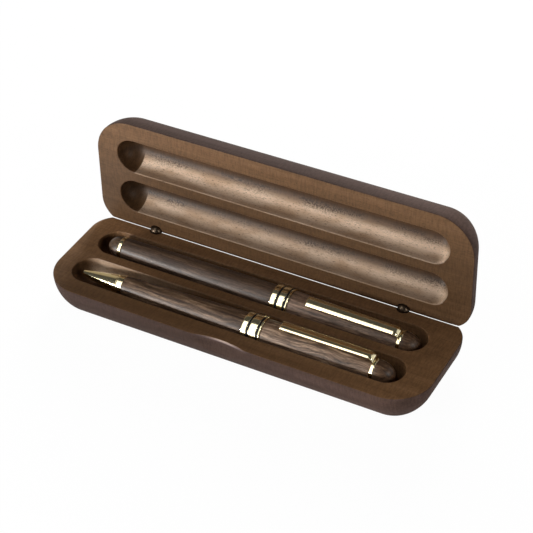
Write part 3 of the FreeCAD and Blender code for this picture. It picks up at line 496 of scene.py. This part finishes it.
def cut_away(piece, cutter, cut_shading):
    """Take the cutter's volume out of the piece, give the cut the painted light and shade of the wood round it,
    and drop the cutter.
    """
    modifier = piece.modifiers.new("seats", "BOOLEAN")
    modifier.object = cutter
    modifier.solver = "EXACT"
    bpy.context.view_layer.update()
    worn = piece.evaluated_get(bpy.context.evaluated_depsgraph_get())
    mesh = bpy.data.meshes.new_from_object(worn)
    piece.modifiers.clear()
    piece.data = mesh
    mesh.set_sharp_from_angle(angle=SHARP_ANGLE)
    painted_shading = np.empty(len(mesh.vertices), np.float32)
    mesh.attributes["painted_shading"].data.foreach_get("value", painted_shading)
    painted_shading[painted_shading == 0] = cut_shading
    mesh.attributes["painted_shading"].data.foreach_set("value", painted_shading)
    bpy.data.objects.remove(cutter)


def on_pin(profile, hinge_x, segments):
    """A profile turned about one hinge's pin."""
    return turned(profile, (hinge_x, PIN[1], PIN[2]), (1, 0, 0), (0, 1, 0), segments)


def seat_cutter():
    """A ball on each pin, with room round the knuckle."""
    half = FORK_HALF * KNUCKLE_END + POCKET_ROOM
    wide = KNUCKLE_RADIUS + POCKET_ROOM
    turn = np.linspace(0, math.pi, 33)
    profile = np.column_stack([-half * np.cos(turn), wide * np.sin(turn)])
    return turned_piece("seat_cutter", [on_pin(profile, hinge_x, 64) for hinge_x in HINGE_PLACES])


def knuckle_profile(start, end):
    """A slice of a ball: radius KNUCKLE_RADIUS * sqrt(1 - (x / (KNUCKLE_END * FORK_HALF)) ** 2)."""
    station = np.linspace(start, end, 13)
    radius = KNUCKLE_RADIUS * np.sqrt(1 - (station / (KNUCKLE_END * FORK_HALF)) ** 2)
    outer = np.column_stack([station, radius])
    return np.vstack([[(start, 0)], outer, [(end, 0)]])


def bronze():
    """Dark antiqued bronze: brown metal with worn, lighter patches."""
    material, tree, shader = finish("antique_bronze", Metallic=1.0)
    place = add(tree, "ShaderNodeTexCoord")["Object"]
    patina = grain(tree, place, 0.0009, 0.0009, detail=3.0)
    tree.links.new(ramp(tree, patina, (0.35, (0.045, 0.032, 0.024)), (0.65, (0.16, 0.115, 0.075))),
                   shader["Base Color"])
    tree.links.new(ramp(tree, patina, (0.3, 0.42), (0.7, 0.28)), shader["Roughness"])
    return material


cut_away(base_wood, seat_cutter(), BASE_CUT_SHADING)
stands_for(base_wood, case_wood, "case_base")
hinge_bronze = bronze()
for side, hinge_x in zip(("left", "right"), HINGE_PLACES):
    lugs = ((-FORK_HALF, -LUG_START), (LUG_START, FORK_HALF))
    fork = turned_piece(f"{side}_hinge_fork", [on_pin(knuckle_profile(*lug), hinge_x, 48) for lug in lugs])
    stands_for(fork, hinge_bronze, f"{side}_hinge_base_leaf", f"{side}_hinge_pin")
    tongue_profile = knuckle_profile(-TONGUE_HALF, TONGUE_HALF)
    tongue = turned_piece(f"{side}_hinge_tongue", [on_pin(tongue_profile, hinge_x, 48)])
    stands_for(tongue, hinge_bronze, f"{side}_hinge_lid_leaf")


# Case lid: the same stained block turned over, with the same channels and no thumb notch.
# It stands open on its hinges, leaning back on their stop.
LID_SWING = math.radians(joints["lid_hinge"]["range_deg"][0])
LID_CHANNEL_SHIFT = 0.0016
# The lid's painted shade in its hinge seats.
LID_CUT_SHADING = 0.61


def in_open_lid(x, y, depth):
    """The closed lid stands above the seam, and swings about the pins to where it rests open."""
    ahead = y - PIN[1]
    above = np.maximum(depth, SEAM_PLAY)
    open_y = PIN[1] + ahead * math.cos(LID_SWING) - above * math.sin(LID_SWING)
    open_z = PIN[2] + ahead * math.sin(LID_SWING) + above * math.cos(LID_SWING)
    return np.stack([x, open_y, open_z], axis=-1)


# The lid's face has painted shade, darker from its front edge to its middle.
lid_wood = case_half(
    "lid_wood", notch_depth=0.0, channel_shift=LID_CHANNEL_SHIFT, paleness_and_sheen=(0.75, 1.0),
    left_end_shadow=(CHANNEL_RADIUS, PAINTED_SHADOW_EDGE), shadow_from=0.2, shading_slope=0.14, shade=0.42, place=in_open_lid,
)
cut_away(lid_wood, seat_cutter(), LID_CUT_SHADING)
stands_for(lid_wood, case_wood, "case_lid")


# Fountain pen barrel: a turned walnut tube with a gold ring and a domed walnut end.
# It lies in the rear channel and screws onto the grip section.
END_TOUCH = 0.00003
WOOD_SWELL = 0.00012
WOOD_EDGE = 0.00012
METAL_EDGE = 0.0002


def pen_frame(joint):
    """The pen's axis from its own joint: a point, the way along, and the ways across and up."""
    along = np.array(joints[joint]["axis"])
    across = np.array([0.0, 1.0, 0.0])
    return {"point": np.array(joints[joint]["pos_m"]), "along": along, "across": across,
            "up": np.cross(along, across)}


def measure(node, pen):
    """Start, end, outer radius at each, and bore of a turned CAD node on its pen's axis."""
    mesh = frame["nodes"][node].data
    points = np.empty(len(mesh.vertices) * 3)
    mesh.vertices.foreach_get("co", points)
    away = points.reshape(-1, 3) - pen["point"]
    station = away @ pen["along"]
    radius = np.linalg.norm(away - station[:, None] * pen["along"], axis=1)
    start, end = station.min(), station.max()
    first = radius[station < start + END_TOUCH].max()
    last = radius[station > end - END_TOUCH].max()
    return start, end, first, last, radius.min()


def eased(start, end, edge, count):
    """Stations from start to end, crowded into quarter circles of radius edge, and the drop there."""
    quarter = np.linspace(0, math.pi / 2, 6)
    near = edge * (1 - np.cos(quarter))
    drop = edge * (1 - np.sin(quarter))
    middle = np.linspace(start + edge, end - edge, count + 2)[1:-1]
    station = np.concatenate([start + near, middle, (end - near)[::-1]])
    return station, np.concatenate([drop, np.zeros(count), drop[::-1]])


def sleeve(start, end, first, last, bore, swell, edge):
    """A tube's closed profile: a straight taper raised by swell * 4t(1 - t), with eased edges."""
    station, drop = eased(start, end, edge, 30)
    share = (station - start) / (end - start)
    radius = first + (last - first) * share + swell * 4 * share * (1 - share) - drop
    outer = np.column_stack([station, radius])
    return np.vstack([outer, [(end, bore), (start, bore)]])


def on_pen(profile, pen):
    """A profile turned about a pen's axis."""
    return turned(profile, pen["point"], pen["along"], pen["across"])


def sleeve_piece(name, node, pen, swell, edge):
    """A turned sleeve with the sizes of the CAD node that it stands for."""
    return turned_piece(name, [on_pen(sleeve(*measure(node, pen), swell, edge), pen)])


def walnut(name, dark, middle, light, wave, seed):
    """Oiled walnut: long dark streaks along the pen, bent by a slow wave, with fine open pores."""
    material, tree, shader = finish(name, Specular_IOR_Level=0.42)
    place = add(tree, "ShaderNodeTexCoord")["Object"]
    moved = add(tree, "ShaderNodeMapping", {"Vector": place, "Location": (seed, seed, seed)})["Vector"]
    slow = grain(tree, moved, 0.014, 0.006, detail=1.0)
    bend = add(tree, "ShaderNodeMath", {0: slow, 1: wave}, operation="MULTIPLY")["Value"]
    shift = add(tree, "ShaderNodeCombineXYZ", {"Y": bend, "Z": bend})["Vector"]
    bent = add(tree, "ShaderNodeVectorMath", {0: moved, 1: shift}, operation="ADD")["Vector"]
    figure = grain(tree, bent, 0.018, 0.0010, detail=5.0)
    streak = grain(tree, bent, 0.0042, 0.00028, detail=4.0)
    pore = grain(tree, bent, 0.0018, 0.00018, detail=1.0)
    colour = ramp(tree, figure, (0.32, dark), (0.52, middle), (0.68, light))
    colour = mixed(tree, "MULTIPLY", 1.0, colour, ramp(tree, streak, (0.34, 0.62), (0.60, 1.16)))
    colour = mixed(tree, "MULTIPLY", 1.0, colour, ramp(tree, pore, (0.34, 0.45), (0.44, 1.0)))
    tree.links.new(colour, shader["Base Color"])
    tree.links.new(ramp(tree, streak, (0.30, 0.46), (0.70, 0.37)), shader["Roughness"])
    relief = add(tree, "ShaderNodeBump", {"Height": pore, "Strength": 0.3, "Distance": 0.00004})["Normal"]
    tree.links.new(relief, shader["Normal"])
    return material


def plated_gold():
    """Polished gold plate: a warm metal with faint polishing marks round the piece."""
    material, tree, shader = finish("plated_gold", Metallic=1.0)
    place = add(tree, "ShaderNodeTexCoord")["Object"]
    haze = grain(tree, place, 0.0004, 0.0016, detail=2.0)
    colour = ramp(tree, haze, (0.3, (0.92, 0.80, 0.49)), (0.7, (0.98, 0.89, 0.59)))
    tree.links.new(colour, shader["Base Color"])
    tree.links.new(ramp(tree, haze, (0.3, 0.18), (0.7, 0.12)), shader["Roughness"])
    return material


gold = plated_gold()
dark_walnut = walnut(
    "dark_walnut", dark=(0.046, 0.026, 0.016), middle=(0.088, 0.052, 0.032), light=(0.150, 0.093, 0.060),
    wave=0.0008, seed=0.0,
)
finial_walnut = walnut(
    "finial_walnut", dark=(0.058, 0.029, 0.015), middle=(0.130, 0.071, 0.038), light=(0.205, 0.118, 0.064),
    wave=0.0003, seed=0.31,
)
fountain = pen_frame("barrel_unscrew")
pen_barrel_wood = sleeve_piece("pen_barrel_wood", "pen_barrel", fountain, WOOD_SWELL, WOOD_EDGE)
stands_for(pen_barrel_wood, dark_walnut, "pen_barrel")
pen_barrel_gold_ring = sleeve_piece("pen_barrel_gold_ring", "pen_barrel_ring", fountain, 0.0, METAL_EDGE)
stands_for(pen_barrel_gold_ring, gold, "pen_barrel_ring")


def dome(base, tip, radius, edge):
    """A half-ellipsoid's closed profile from its rim to its tip, with an eased rim and a flat base."""
    way = math.copysign(1, tip - base)
    turn = np.linspace(0, math.pi / 2, 40)
    station = base + (tip - base) * np.sin(turn)
    outer = np.column_stack([station, radius * np.cos(turn)])[1:]
    quarter = np.linspace(0, math.pi / 2, 6)
    rim_station = base + way * edge * (1 - np.cos(quarter))
    rim = np.column_stack([rim_station, radius - edge * (1 - np.sin(quarter))])
    outer = outer[np.abs(outer[:, 0] - base) > edge]
    return np.vstack([[(base, 0)], rim, outer])


start, end, _, radius, _ = measure("pen_barrel_end", fountain)
pen_barrel_dome = turned_piece("pen_barrel_dome", [on_pen(dome(end, start, radius, WOOD_EDGE), fountain)])
stands_for(pen_barrel_dome, dark_walnut, "pen_barrel_end")


# Grip section, nib and converter: the writing parts that the cap and the barrel hide. They keep their
# own solids, in black resin, gold and clear resin. Every solid is dressed here by its material slot.
CLOUD_SHARE = 0.8
LINE_SHARE = 0.85
LINE_GLOSS = 0.7


def plain_resin(name, colour, roughness):
    """Moulded resin: one colour with a faint cloud in it and a soft gloss."""
    material, tree, shader = finish(name)
    place = add(tree, "ShaderNodeTexCoord")["Object"]
    cloud = grain(tree, place, 0.002, 0.002, detail=2.0)
    dull = tuple(CLOUD_SHARE * part for part in colour)
    tree.links.new(ramp(tree, cloud, (0.3, dull), (0.7, colour)), shader["Base Color"])
    tree.links.new(ramp(tree, cloud, (0.3, roughness), (0.7, CLOUD_SHARE * roughness)), shader["Roughness"])
    return material, shader


def drawn_metal(name, colour, roughness):
    """Drawn tube or machined rod: metal with fine lines along it."""
    material, tree, shader = finish(name, Metallic=1.0)
    place = add(tree, "ShaderNodeTexCoord")["Object"]
    line = grain(tree, place, 0.006, 0.0002, detail=2.0)
    dull = tuple(LINE_SHARE * part for part in colour)
    tree.links.new(ramp(tree, line, (0.3, dull), (0.7, colour)), shader["Base Color"])
    tree.links.new(ramp(tree, line, (0.3, roughness), (0.7, LINE_GLOSS * roughness)), shader["Roughness"])
    return material


black_resin, black_shader = plain_resin("black_resin", (0.010, 0.010, 0.011), 0.35)
black_shader["Specular IOR Level"].default_value = 0.2
clear_resin, clear_shader = plain_resin("clear_resin", (0.85, 0.88, 0.90), 0.08)
clear_shader["Transmission Weight"].default_value = 0.85
clear_shader["IOR"].default_value = 1.49
brass = drawn_metal("drawn_brass", (0.80, 0.60, 0.28), 0.30)
steel = drawn_metal("drawn_steel", (0.62, 0.61, 0.60), 0.28)
slot_finish = {
    "gold": gold, "black_plastic": black_resin, "black_enamel": black_resin, "clear_plastic": clear_resin,
    "brass_tube": brass, "refill_steel": steel, "hinge_bronze": hinge_bronze,
}
for node, piece in frame["nodes"].items():
    piece.data.materials.clear()
    piece.data.materials.append(slot_finish.get(node_slot[node], case_wood))


# Fountain pen cap: a gold band with two black inlays, a walnut shell, a spring clip and a domed finial.
# The band and the shell are glued over a liner, and the finial's screw holds the clip's ring.
BAND_CROWN = 0.00006
INLAY_WIDTH = 0.00075
INLAY_GROOVE = 0.00035
INLAY_EDGE = 0.00005


def band_profile(start, end, radius, bore, spans):
    """A band's closed profile: crowned lands with eased edges, and a square groove at each inlay."""
    stops = [start, *np.ravel(spans), end]
    lands = list(zip(stops[0::2], stops[1::2]))
    floor = radius - INLAY_GROOVE
    outline = []
    for land_start, land_end in lands:
        station, drop = eased(land_start, land_end, METAL_EDGE, 8)
        share = (station - land_start) / (land_end - land_start)
        land = np.column_stack([station, radius - drop - BAND_CROWN * (2 * share - 1) ** 2])
        outline.append(land if land_end == end else np.vstack([land, [(land_end, floor)]]))
    for number in range(1, len(outline)):
        outline[number] = np.vstack([[(lands[number][0], floor)], outline[number]])
    return np.vstack(outline + [[(end, bore), (start, bore)]])


def band_pieces(name, band_node, inlay_node, pen):
    """The gold band and its black inlays, as two pieces."""
    start, end, radius, _, bore = measure(band_node, pen)
    inlay_start, inlay_end, inlay_radius, _, inlay_bore = measure(inlay_node, pen)
    spans = ((inlay_start, inlay_start + INLAY_WIDTH), (inlay_end - INLAY_WIDTH, inlay_end))
    profile = band_profile(start, end, radius, bore, spans)
    gold_band = turned_piece(f"{name}_gold_band", [on_pen(profile, pen)])
    stands_for(gold_band, gold, band_node)
    rings = [
        on_pen(sleeve(*span, inlay_radius, inlay_radius, inlay_bore, 0.0, INLAY_EDGE), pen)
        for span in spans
    ]
    stands_for(turned_piece(f"{name}_black_rings", rings), black_resin, inlay_node)


CLIP_RING_LENGTH = 0.0016
CLIP_RING_RADIUS = 0.0051
CLIP_BORE = 0.00192
CLIP_REACH = 0.0418
CLIP_FREE_WIDTH = 0.0050
CLIP_NECK_WIDTH = 0.0044
CLIP_TOP = 0.0080
CLIP_CROWN = 0.0009
CLIP_THICKNESS = 0.0015
CLIP_BEND = 0.0017
CLIP_NOSE = 0.0008
CLIP_NOSE_WIDTH = 0.55
CLIP_NOSE_DEPTH = 0.4
CLIP_FOOT_LENGTH = 0.0054
CLIP_FOOT_FADE = 1.5
CLIP_FOOT_GAP = 0.0001
CLIP_SIDE_POWER = 0.8
CLIP_UNDER_POWER = 0.4
CAP_CLIP_TURN = 16.0


def clip_strap(ring_end, barrel_radius, turn, pen):
    """A crowned strap whose section is carried back from the ring along the barrel.

    The top falls to the ring over the bend as a quarter ellipse, and the nose closes as another.
    The section is half an ellipse above its edges and a squared oval below them. Under the nose
    a foot fills the strap down to the barrel, at height sqrt(radius ** 2 - u ** 2) over the axis.
    """
    quarter = np.linspace(0, math.pi / 2, 12)
    nose = CLIP_NOSE * (1 - np.cos(quarter))
    bend_at = CLIP_REACH - CLIP_RING_LENGTH - CLIP_BEND
    run = np.linspace(CLIP_NOSE, bend_at, 40)[1:]
    bend = np.linspace(bend_at, CLIP_REACH - CLIP_RING_LENGTH / 2, 24)[1:]
    travel = np.concatenate([nose, run, bend])
    closing = np.concatenate([np.sin(quarter), np.ones(travel.size - quarter.size)])[:, None]
    fall = np.clip((travel - bend_at) / (CLIP_REACH - CLIP_RING_LENGTH / 2 - bend_at), 0, 1)[:, None]
    top = CLIP_RING_RADIUS + (CLIP_TOP - CLIP_RING_RADIUS) * np.sqrt(1 - fall ** 2)
    share = (travel / CLIP_REACH)[:, None]
    width = CLIP_FREE_WIDTH + (CLIP_NECK_WIDTH - CLIP_FREE_WIDTH) * share
    width = width * (CLIP_NOSE_WIDTH + (1 - CLIP_NOSE_WIDTH) * closing)
    foot = np.clip(CLIP_FOOT_FADE * (1 - travel / CLIP_FOOT_LENGTH), 0, 1)[:, None]
    foot = foot ** 2 * (3 - 2 * foot)
    angle = np.linspace(0, 2 * math.pi, 48, endpoint=False)[None]
    across = width / 2 * np.sign(np.cos(angle)) * np.abs(np.cos(angle)) ** CLIP_SIDE_POWER
    edge = top - CLIP_CROWN
    above = edge + CLIP_CROWN * closing * np.abs(np.sin(angle))
    saddle = np.sqrt((barrel_radius + CLIP_FOOT_GAP) ** 2 - across ** 2)
    floor = (top - CLIP_THICKNESS) * (1 - foot) + saddle * foot
    deepening = CLIP_NOSE_DEPTH + (1 - CLIP_NOSE_DEPTH) * closing
    below = edge + (floor - edge) * deepening * np.abs(np.sin(angle)) ** CLIP_UNDER_POWER
    height = np.where(np.sin(angle) > 0, above, below)
    tilt = math.radians(turn)
    side = math.cos(tilt) * pen["across"] + math.sin(tilt) * pen["up"]
    rise = math.cos(tilt) * pen["up"] - math.sin(tilt) * pen["across"]
    station = ring_end - CLIP_REACH + travel
    points = (pen["point"] + station[:, None, None] * pen["along"]
              + across[..., None] * side + height[..., None] * rise)
    caps = np.stack([points[0].mean(axis=0), points[-1].mean(axis=0)])
    first_cap = np.repeat(caps[:1], angle.size, axis=0)[None]
    last_cap = np.repeat(caps[1:], angle.size, axis=0)[None]
    return np.concatenate([first_cap, points, last_cap])


def clip_piece(name, node, shell, turn, pen):
    """The strap and its ring in one piece, at the end of the wooden shell that it springs over."""
    start, end, first, last, _ = measure(shell, pen)
    ring_end = end + CLIP_RING_LENGTH
    ring_profile = sleeve(end, ring_end, CLIP_RING_RADIUS, CLIP_RING_RADIUS, CLIP_BORE, 0.0, METAL_EDGE)
    ring = on_pen(ring_profile, pen)
    foot_share = (ring_end - CLIP_REACH + CLIP_FOOT_LENGTH / 2 - start) / (end - start)
    barrel_radius = first + (last - first) * foot_share + WOOD_SWELL
    strap = clip_strap(ring_end, barrel_radius, turn, pen)
    rings = quads(*ring.shape[:2], close_rows=True)
    straps = quads(*strap.shape[:2], ring.shape[0] * ring.shape[1])
    points = np.vstack([ring.reshape(-1, 3), strap.reshape(-1, 3)])
    stands_for(welded(name, points, np.vstack([rings, straps])), gold, node)


band_pieces("cap", "cap_band", "cap_band_inlays", fountain)
cap_wood = sleeve_piece("cap_wood", "cap_shell", fountain, WOOD_SWELL, WOOD_EDGE)
# A lighter copy of the walnut, standing in for light on the cap shell: painted light.
lit_cap_walnut = walnut(
    "lit_cap_walnut", dark=(0.080, 0.045, 0.028), middle=(0.210, 0.128, 0.083), light=(0.355, 0.226, 0.150),
    wave=0.0008, seed=0.17,
)
stands_for(cap_wood, lit_cap_walnut, "cap_shell")
clip_piece("cap_gold_clip", "cap_clip", "cap_shell", CAP_CLIP_TURN, fountain)
start, end, radius, *_ = measure("cap_finial", fountain)
cap_dome = turned_piece("cap_dome", [on_pen(dome(start, end, radius, WOOD_EDGE), fountain)])
stands_for(cap_dome, finial_walnut, "cap_finial")


# Ballpoint: a gold writing tip, a lower walnut barrel that twists against the band, and an upper
# barrel with a clip and a finial like the cap's. It lies in the front channel.
ballpoint = pen_frame("ballpoint_twist")
wavy_walnut = walnut(
    "wavy_walnut", dark=(0.040, 0.021, 0.011), middle=(0.120, 0.069, 0.039), light=(0.290, 0.186, 0.115),
    wave=0.0026, seed=0.53,
)
# A lighter copy of the wavy walnut, standing in for light on the upper barrel: painted light.
lit_upper_walnut = walnut(
    "lit_upper_walnut", dark=(0.050, 0.028, 0.016), middle=(0.210, 0.128, 0.078), light=(0.460, 0.310, 0.205),
    wave=0.0026, seed=0.71,
)
BALLPOINT_CLIP_TURN = -2.0
TIP_LENGTH = 0.0173
TIP_POINT_RADIUS = 0.00125
TIP_CONE_RADIUS = 0.0040
TIP_SWELL = 0.00012
TIP_EDGE = 0.0002
TIP_COLLAR_LENGTH = 0.0031
TIP_COLLAR_RADIUS = 0.0042
TIP_COLLAR_EDGE = 0.0003
TIP_BORE = 0.00095


def tip_profile(start):
    """A slim cone with a slight swell, a fine groove and a collar with eased edges."""
    cone, cone_drop = eased(start, start + TIP_LENGTH, TIP_EDGE, 24)
    share = (cone - start) / TIP_LENGTH
    radius = TIP_POINT_RADIUS + (TIP_CONE_RADIUS - TIP_POINT_RADIUS) * share
    radius = radius + 4 * TIP_SWELL * share * (1 - share) - cone_drop
    collar_start = start + TIP_LENGTH
    collar, collar_drop = eased(collar_start, collar_start + TIP_COLLAR_LENGTH, TIP_COLLAR_EDGE, 12)
    outer = np.vstack([
        np.column_stack([cone, radius]), np.column_stack([collar, TIP_COLLAR_RADIUS - collar_drop]),
    ])
    return np.vstack([outer, [(collar[-1], TIP_BORE), (start, TIP_BORE)]])


start, *_ = measure("ballpoint_tip", ballpoint)
ballpoint_gold_tip = turned_piece("ballpoint_gold_tip", [on_pen(tip_profile(start), ballpoint)])
stands_for(ballpoint_gold_tip, gold, "ballpoint_tip")
for part, wood in (("lower", wavy_walnut), ("upper", lit_upper_walnut)):
    node = f"ballpoint_{part}_barrel"
    barrel = sleeve_piece(f"ballpoint_{part}_wood", node, ballpoint, WOOD_SWELL, WOOD_EDGE)
    stands_for(barrel, wood, node)
band_pieces("ballpoint", "ballpoint_band", "ballpoint_band_inlays", ballpoint)
clip_piece(
    "ballpoint_gold_clip", "ballpoint_clip", "ballpoint_upper_barrel", BALLPOINT_CLIP_TURN, ballpoint,
)
start, end, radius, *_ = measure("ballpoint_finial", ballpoint)
ballpoint_dome = turned_piece("ballpoint_dome", [on_pen(dome(start, end, radius, WOOD_EDGE), ballpoint)])
stands_for(ballpoint_dome, finial_walnut, "ballpoint_finial")


# Studio: a white floor that keeps a faint shadow, and a surround that is white behind and dark in
# front. A key lamp and a strip stand low at the front left with a tall softbox above them, a small
# lamp stands at the right, and another behind lights the lid's back.
FLOOR_HALF = 12.0
FLOOR_DROP = 0.0001
PAPER_GLOW = 0.975
floor_points = np.array([(-1, -1), (1, -1), (1, 1), (-1, 1)]) * FLOOR_HALF
floor_mesh = bpy.data.meshes.new("floor")
floor_mesh.from_pydata([(x, y, -FLOOR_DROP) for x, y in floor_points], [], [(0, 1, 2, 3)])
floor = bpy.data.objects.new("floor", floor_mesh)
bpy.context.scene.collection.objects.link(floor)


def seen_directly(tree):
    """One for camera, mirror and glass rays, and zero for the rays that carry light."""
    path = add(tree, "ShaderNodeLightPath")
    seen = path["Is Camera Ray"]
    for ray in ("Is Glossy Ray", "Is Transmission Ray"):
        seen = add(tree, "ShaderNodeMath", {0: seen, 1: path[ray]}, operation="MAXIMUM")["Value"]
    return seen


def white_paper():
    """White paper: mostly plain white to the eye, with a share of its own light and shadow."""
    material = bpy.data.materials.new("white_paper")
    material.use_nodes = True
    tree = material.node_tree
    tree.nodes.clear()
    paper = add(tree, "ShaderNodeBsdfDiffuse", {"Color": (0.92, 0.92, 0.92, 1)})["BSDF"]
    white = add(tree, "ShaderNodeEmission", {"Color": (1, 1, 1, 1), "Strength": 1.0})["Emission"]
    seen = seen_directly(tree)
    share = add(tree, "ShaderNodeMath", {0: seen, 1: PAPER_GLOW}, operation="MULTIPLY")["Value"]
    shown = add(tree, "ShaderNodeMixShader", {0: share, 1: paper, 2: white})["Shader"]
    add(tree, "ShaderNodeOutputMaterial", {"Surface": shown})
    return material


floor_mesh.materials.append(white_paper())

AMBIENT = 0.025


def studio_surround():
    """A world of even faint light, which shows white at the horizon and behind, and dark in front.

    Behind on the left it is dimmer and browner.
    """
    world = bpy.data.worlds.new("studio_surround")
    world.use_nodes = True
    tree = world.node_tree
    tree.nodes.clear()
    way = add(tree, "ShaderNodeTexCoord")["Generated"]
    parts = add(tree, "ShaderNodeSeparateXYZ", {"Vector": way})
    horizon = ramp(tree, parts["Z"], (0.03, 1.0), (0.16, 0.06))
    behind = mixed(tree, "MULTIPLY", 1.0, ramp(tree, parts["Y"], (0.0, 0.0), (0.25, 0.7)),
                   ramp(tree, parts["Z"], (0.66, 1.0), (0.80, 0.0)))
    sideways = add(tree, "ShaderNodeMath", {0: parts["X"], 1: 1.0}, operation="ADD")["Value"]
    brown_left = ramp(tree, sideways, (0.66, (0.52, 0.44, 0.34)), (0.80, 1.0))
    behind = mixed(tree, "MULTIPLY", 1.0, behind, brown_left)
    shade = mixed(tree, "LIGHTEN", 1.0, horizon, behind)
    even = add(tree, "ShaderNodeBackground", {"Color": (1, 1, 1, 1), "Strength": AMBIENT})["Background"]
    shown = add(tree, "ShaderNodeBackground", {"Color": shade, "Strength": 1.0})["Background"]
    both = add(tree, "ShaderNodeMixShader", {0: seen_directly(tree), 1: even, 2: shown})["Shader"]
    add(tree, "ShaderNodeOutputWorld", {"Surface": both})
    return world


bpy.context.scene.world = studio_surround()


def lamp(name, place, aim, width, height, power):
    """A soft rectangular lamp that faces its aim."""
    light = bpy.data.lights.new(name, "AREA")
    light.shape = "RECTANGLE"
    light.size = width
    light.size_y = height
    light.energy = power
    made = bpy.data.objects.new(name, light)
    made.location = place
    made.rotation_euler = (Vector(aim) - Vector(place)).to_track_quat("-Z", "Y").to_euler()
    bpy.context.scene.collection.objects.link(made)


lamp("key_lamp", (-0.303, -0.322, 0.088), aim=(0.0, 0.01, 0.03), width=0.045, height=0.045, power=1.2)
lamp("low_strip", (-0.16, -0.46, 0.10), aim=(0.0, 0.0, 0.02), width=0.26, height=0.06, power=0.5)
lamp("softbox", (-0.30, -0.473, 0.544), aim=(-0.30, 0.0, 0.02), width=0.36, height=0.96, power=2.2)
lamp("right_lamp", (0.52, -0.16, 0.32), aim=(0.04, 0.0, 0.02), width=0.10, height=0.10, power=0.6)
lamp("back_lamp", (-0.10, 0.60, 0.42), aim=(0.0, 0.03, 0.06), width=0.26, height=0.26, power=5.4)


# Camera: a long lens to the right of the case and above it, aimed a little behind its middle.
VIEW_AIM = Vector((0.004282, 0.007250, 0.031340))
VIEW_DISTANCE = 0.700
VIEW_AZIMUTH = math.radians(30.3927)
VIEW_ELEVATION = math.radians(39.0518)
VIEW_ROLL = math.radians(-2.6555)
VIEW_LENS = 119.3525
VIEW_SENSOR = 36.0
ahead = Vector((
    -math.sin(VIEW_AZIMUTH) * math.cos(VIEW_ELEVATION),
    math.cos(VIEW_AZIMUTH) * math.cos(VIEW_ELEVATION),
    -math.sin(VIEW_ELEVATION),
))
level = Vector((math.cos(VIEW_AZIMUTH), math.sin(VIEW_AZIMUTH), 0))
right = Matrix.Rotation(-VIEW_ROLL, 3, ahead) @ level
turn = Matrix((right, right.cross(ahead), -ahead)).transposed()
camera_data = bpy.data.cameras.new("camera")
camera_data.sensor_width = VIEW_SENSOR
camera_data.lens = VIEW_LENS
camera = bpy.data.objects.new("camera", camera_data)
camera.matrix_world = Matrix.Translation(VIEW_AIM - ahead * VIEW_DISTANCE) @ turn.to_4x4()
bpy.context.scene.collection.objects.link(camera)
bpy.context.scene.camera = camera
bpy.context.scene.view_settings.view_transform = "Standard"
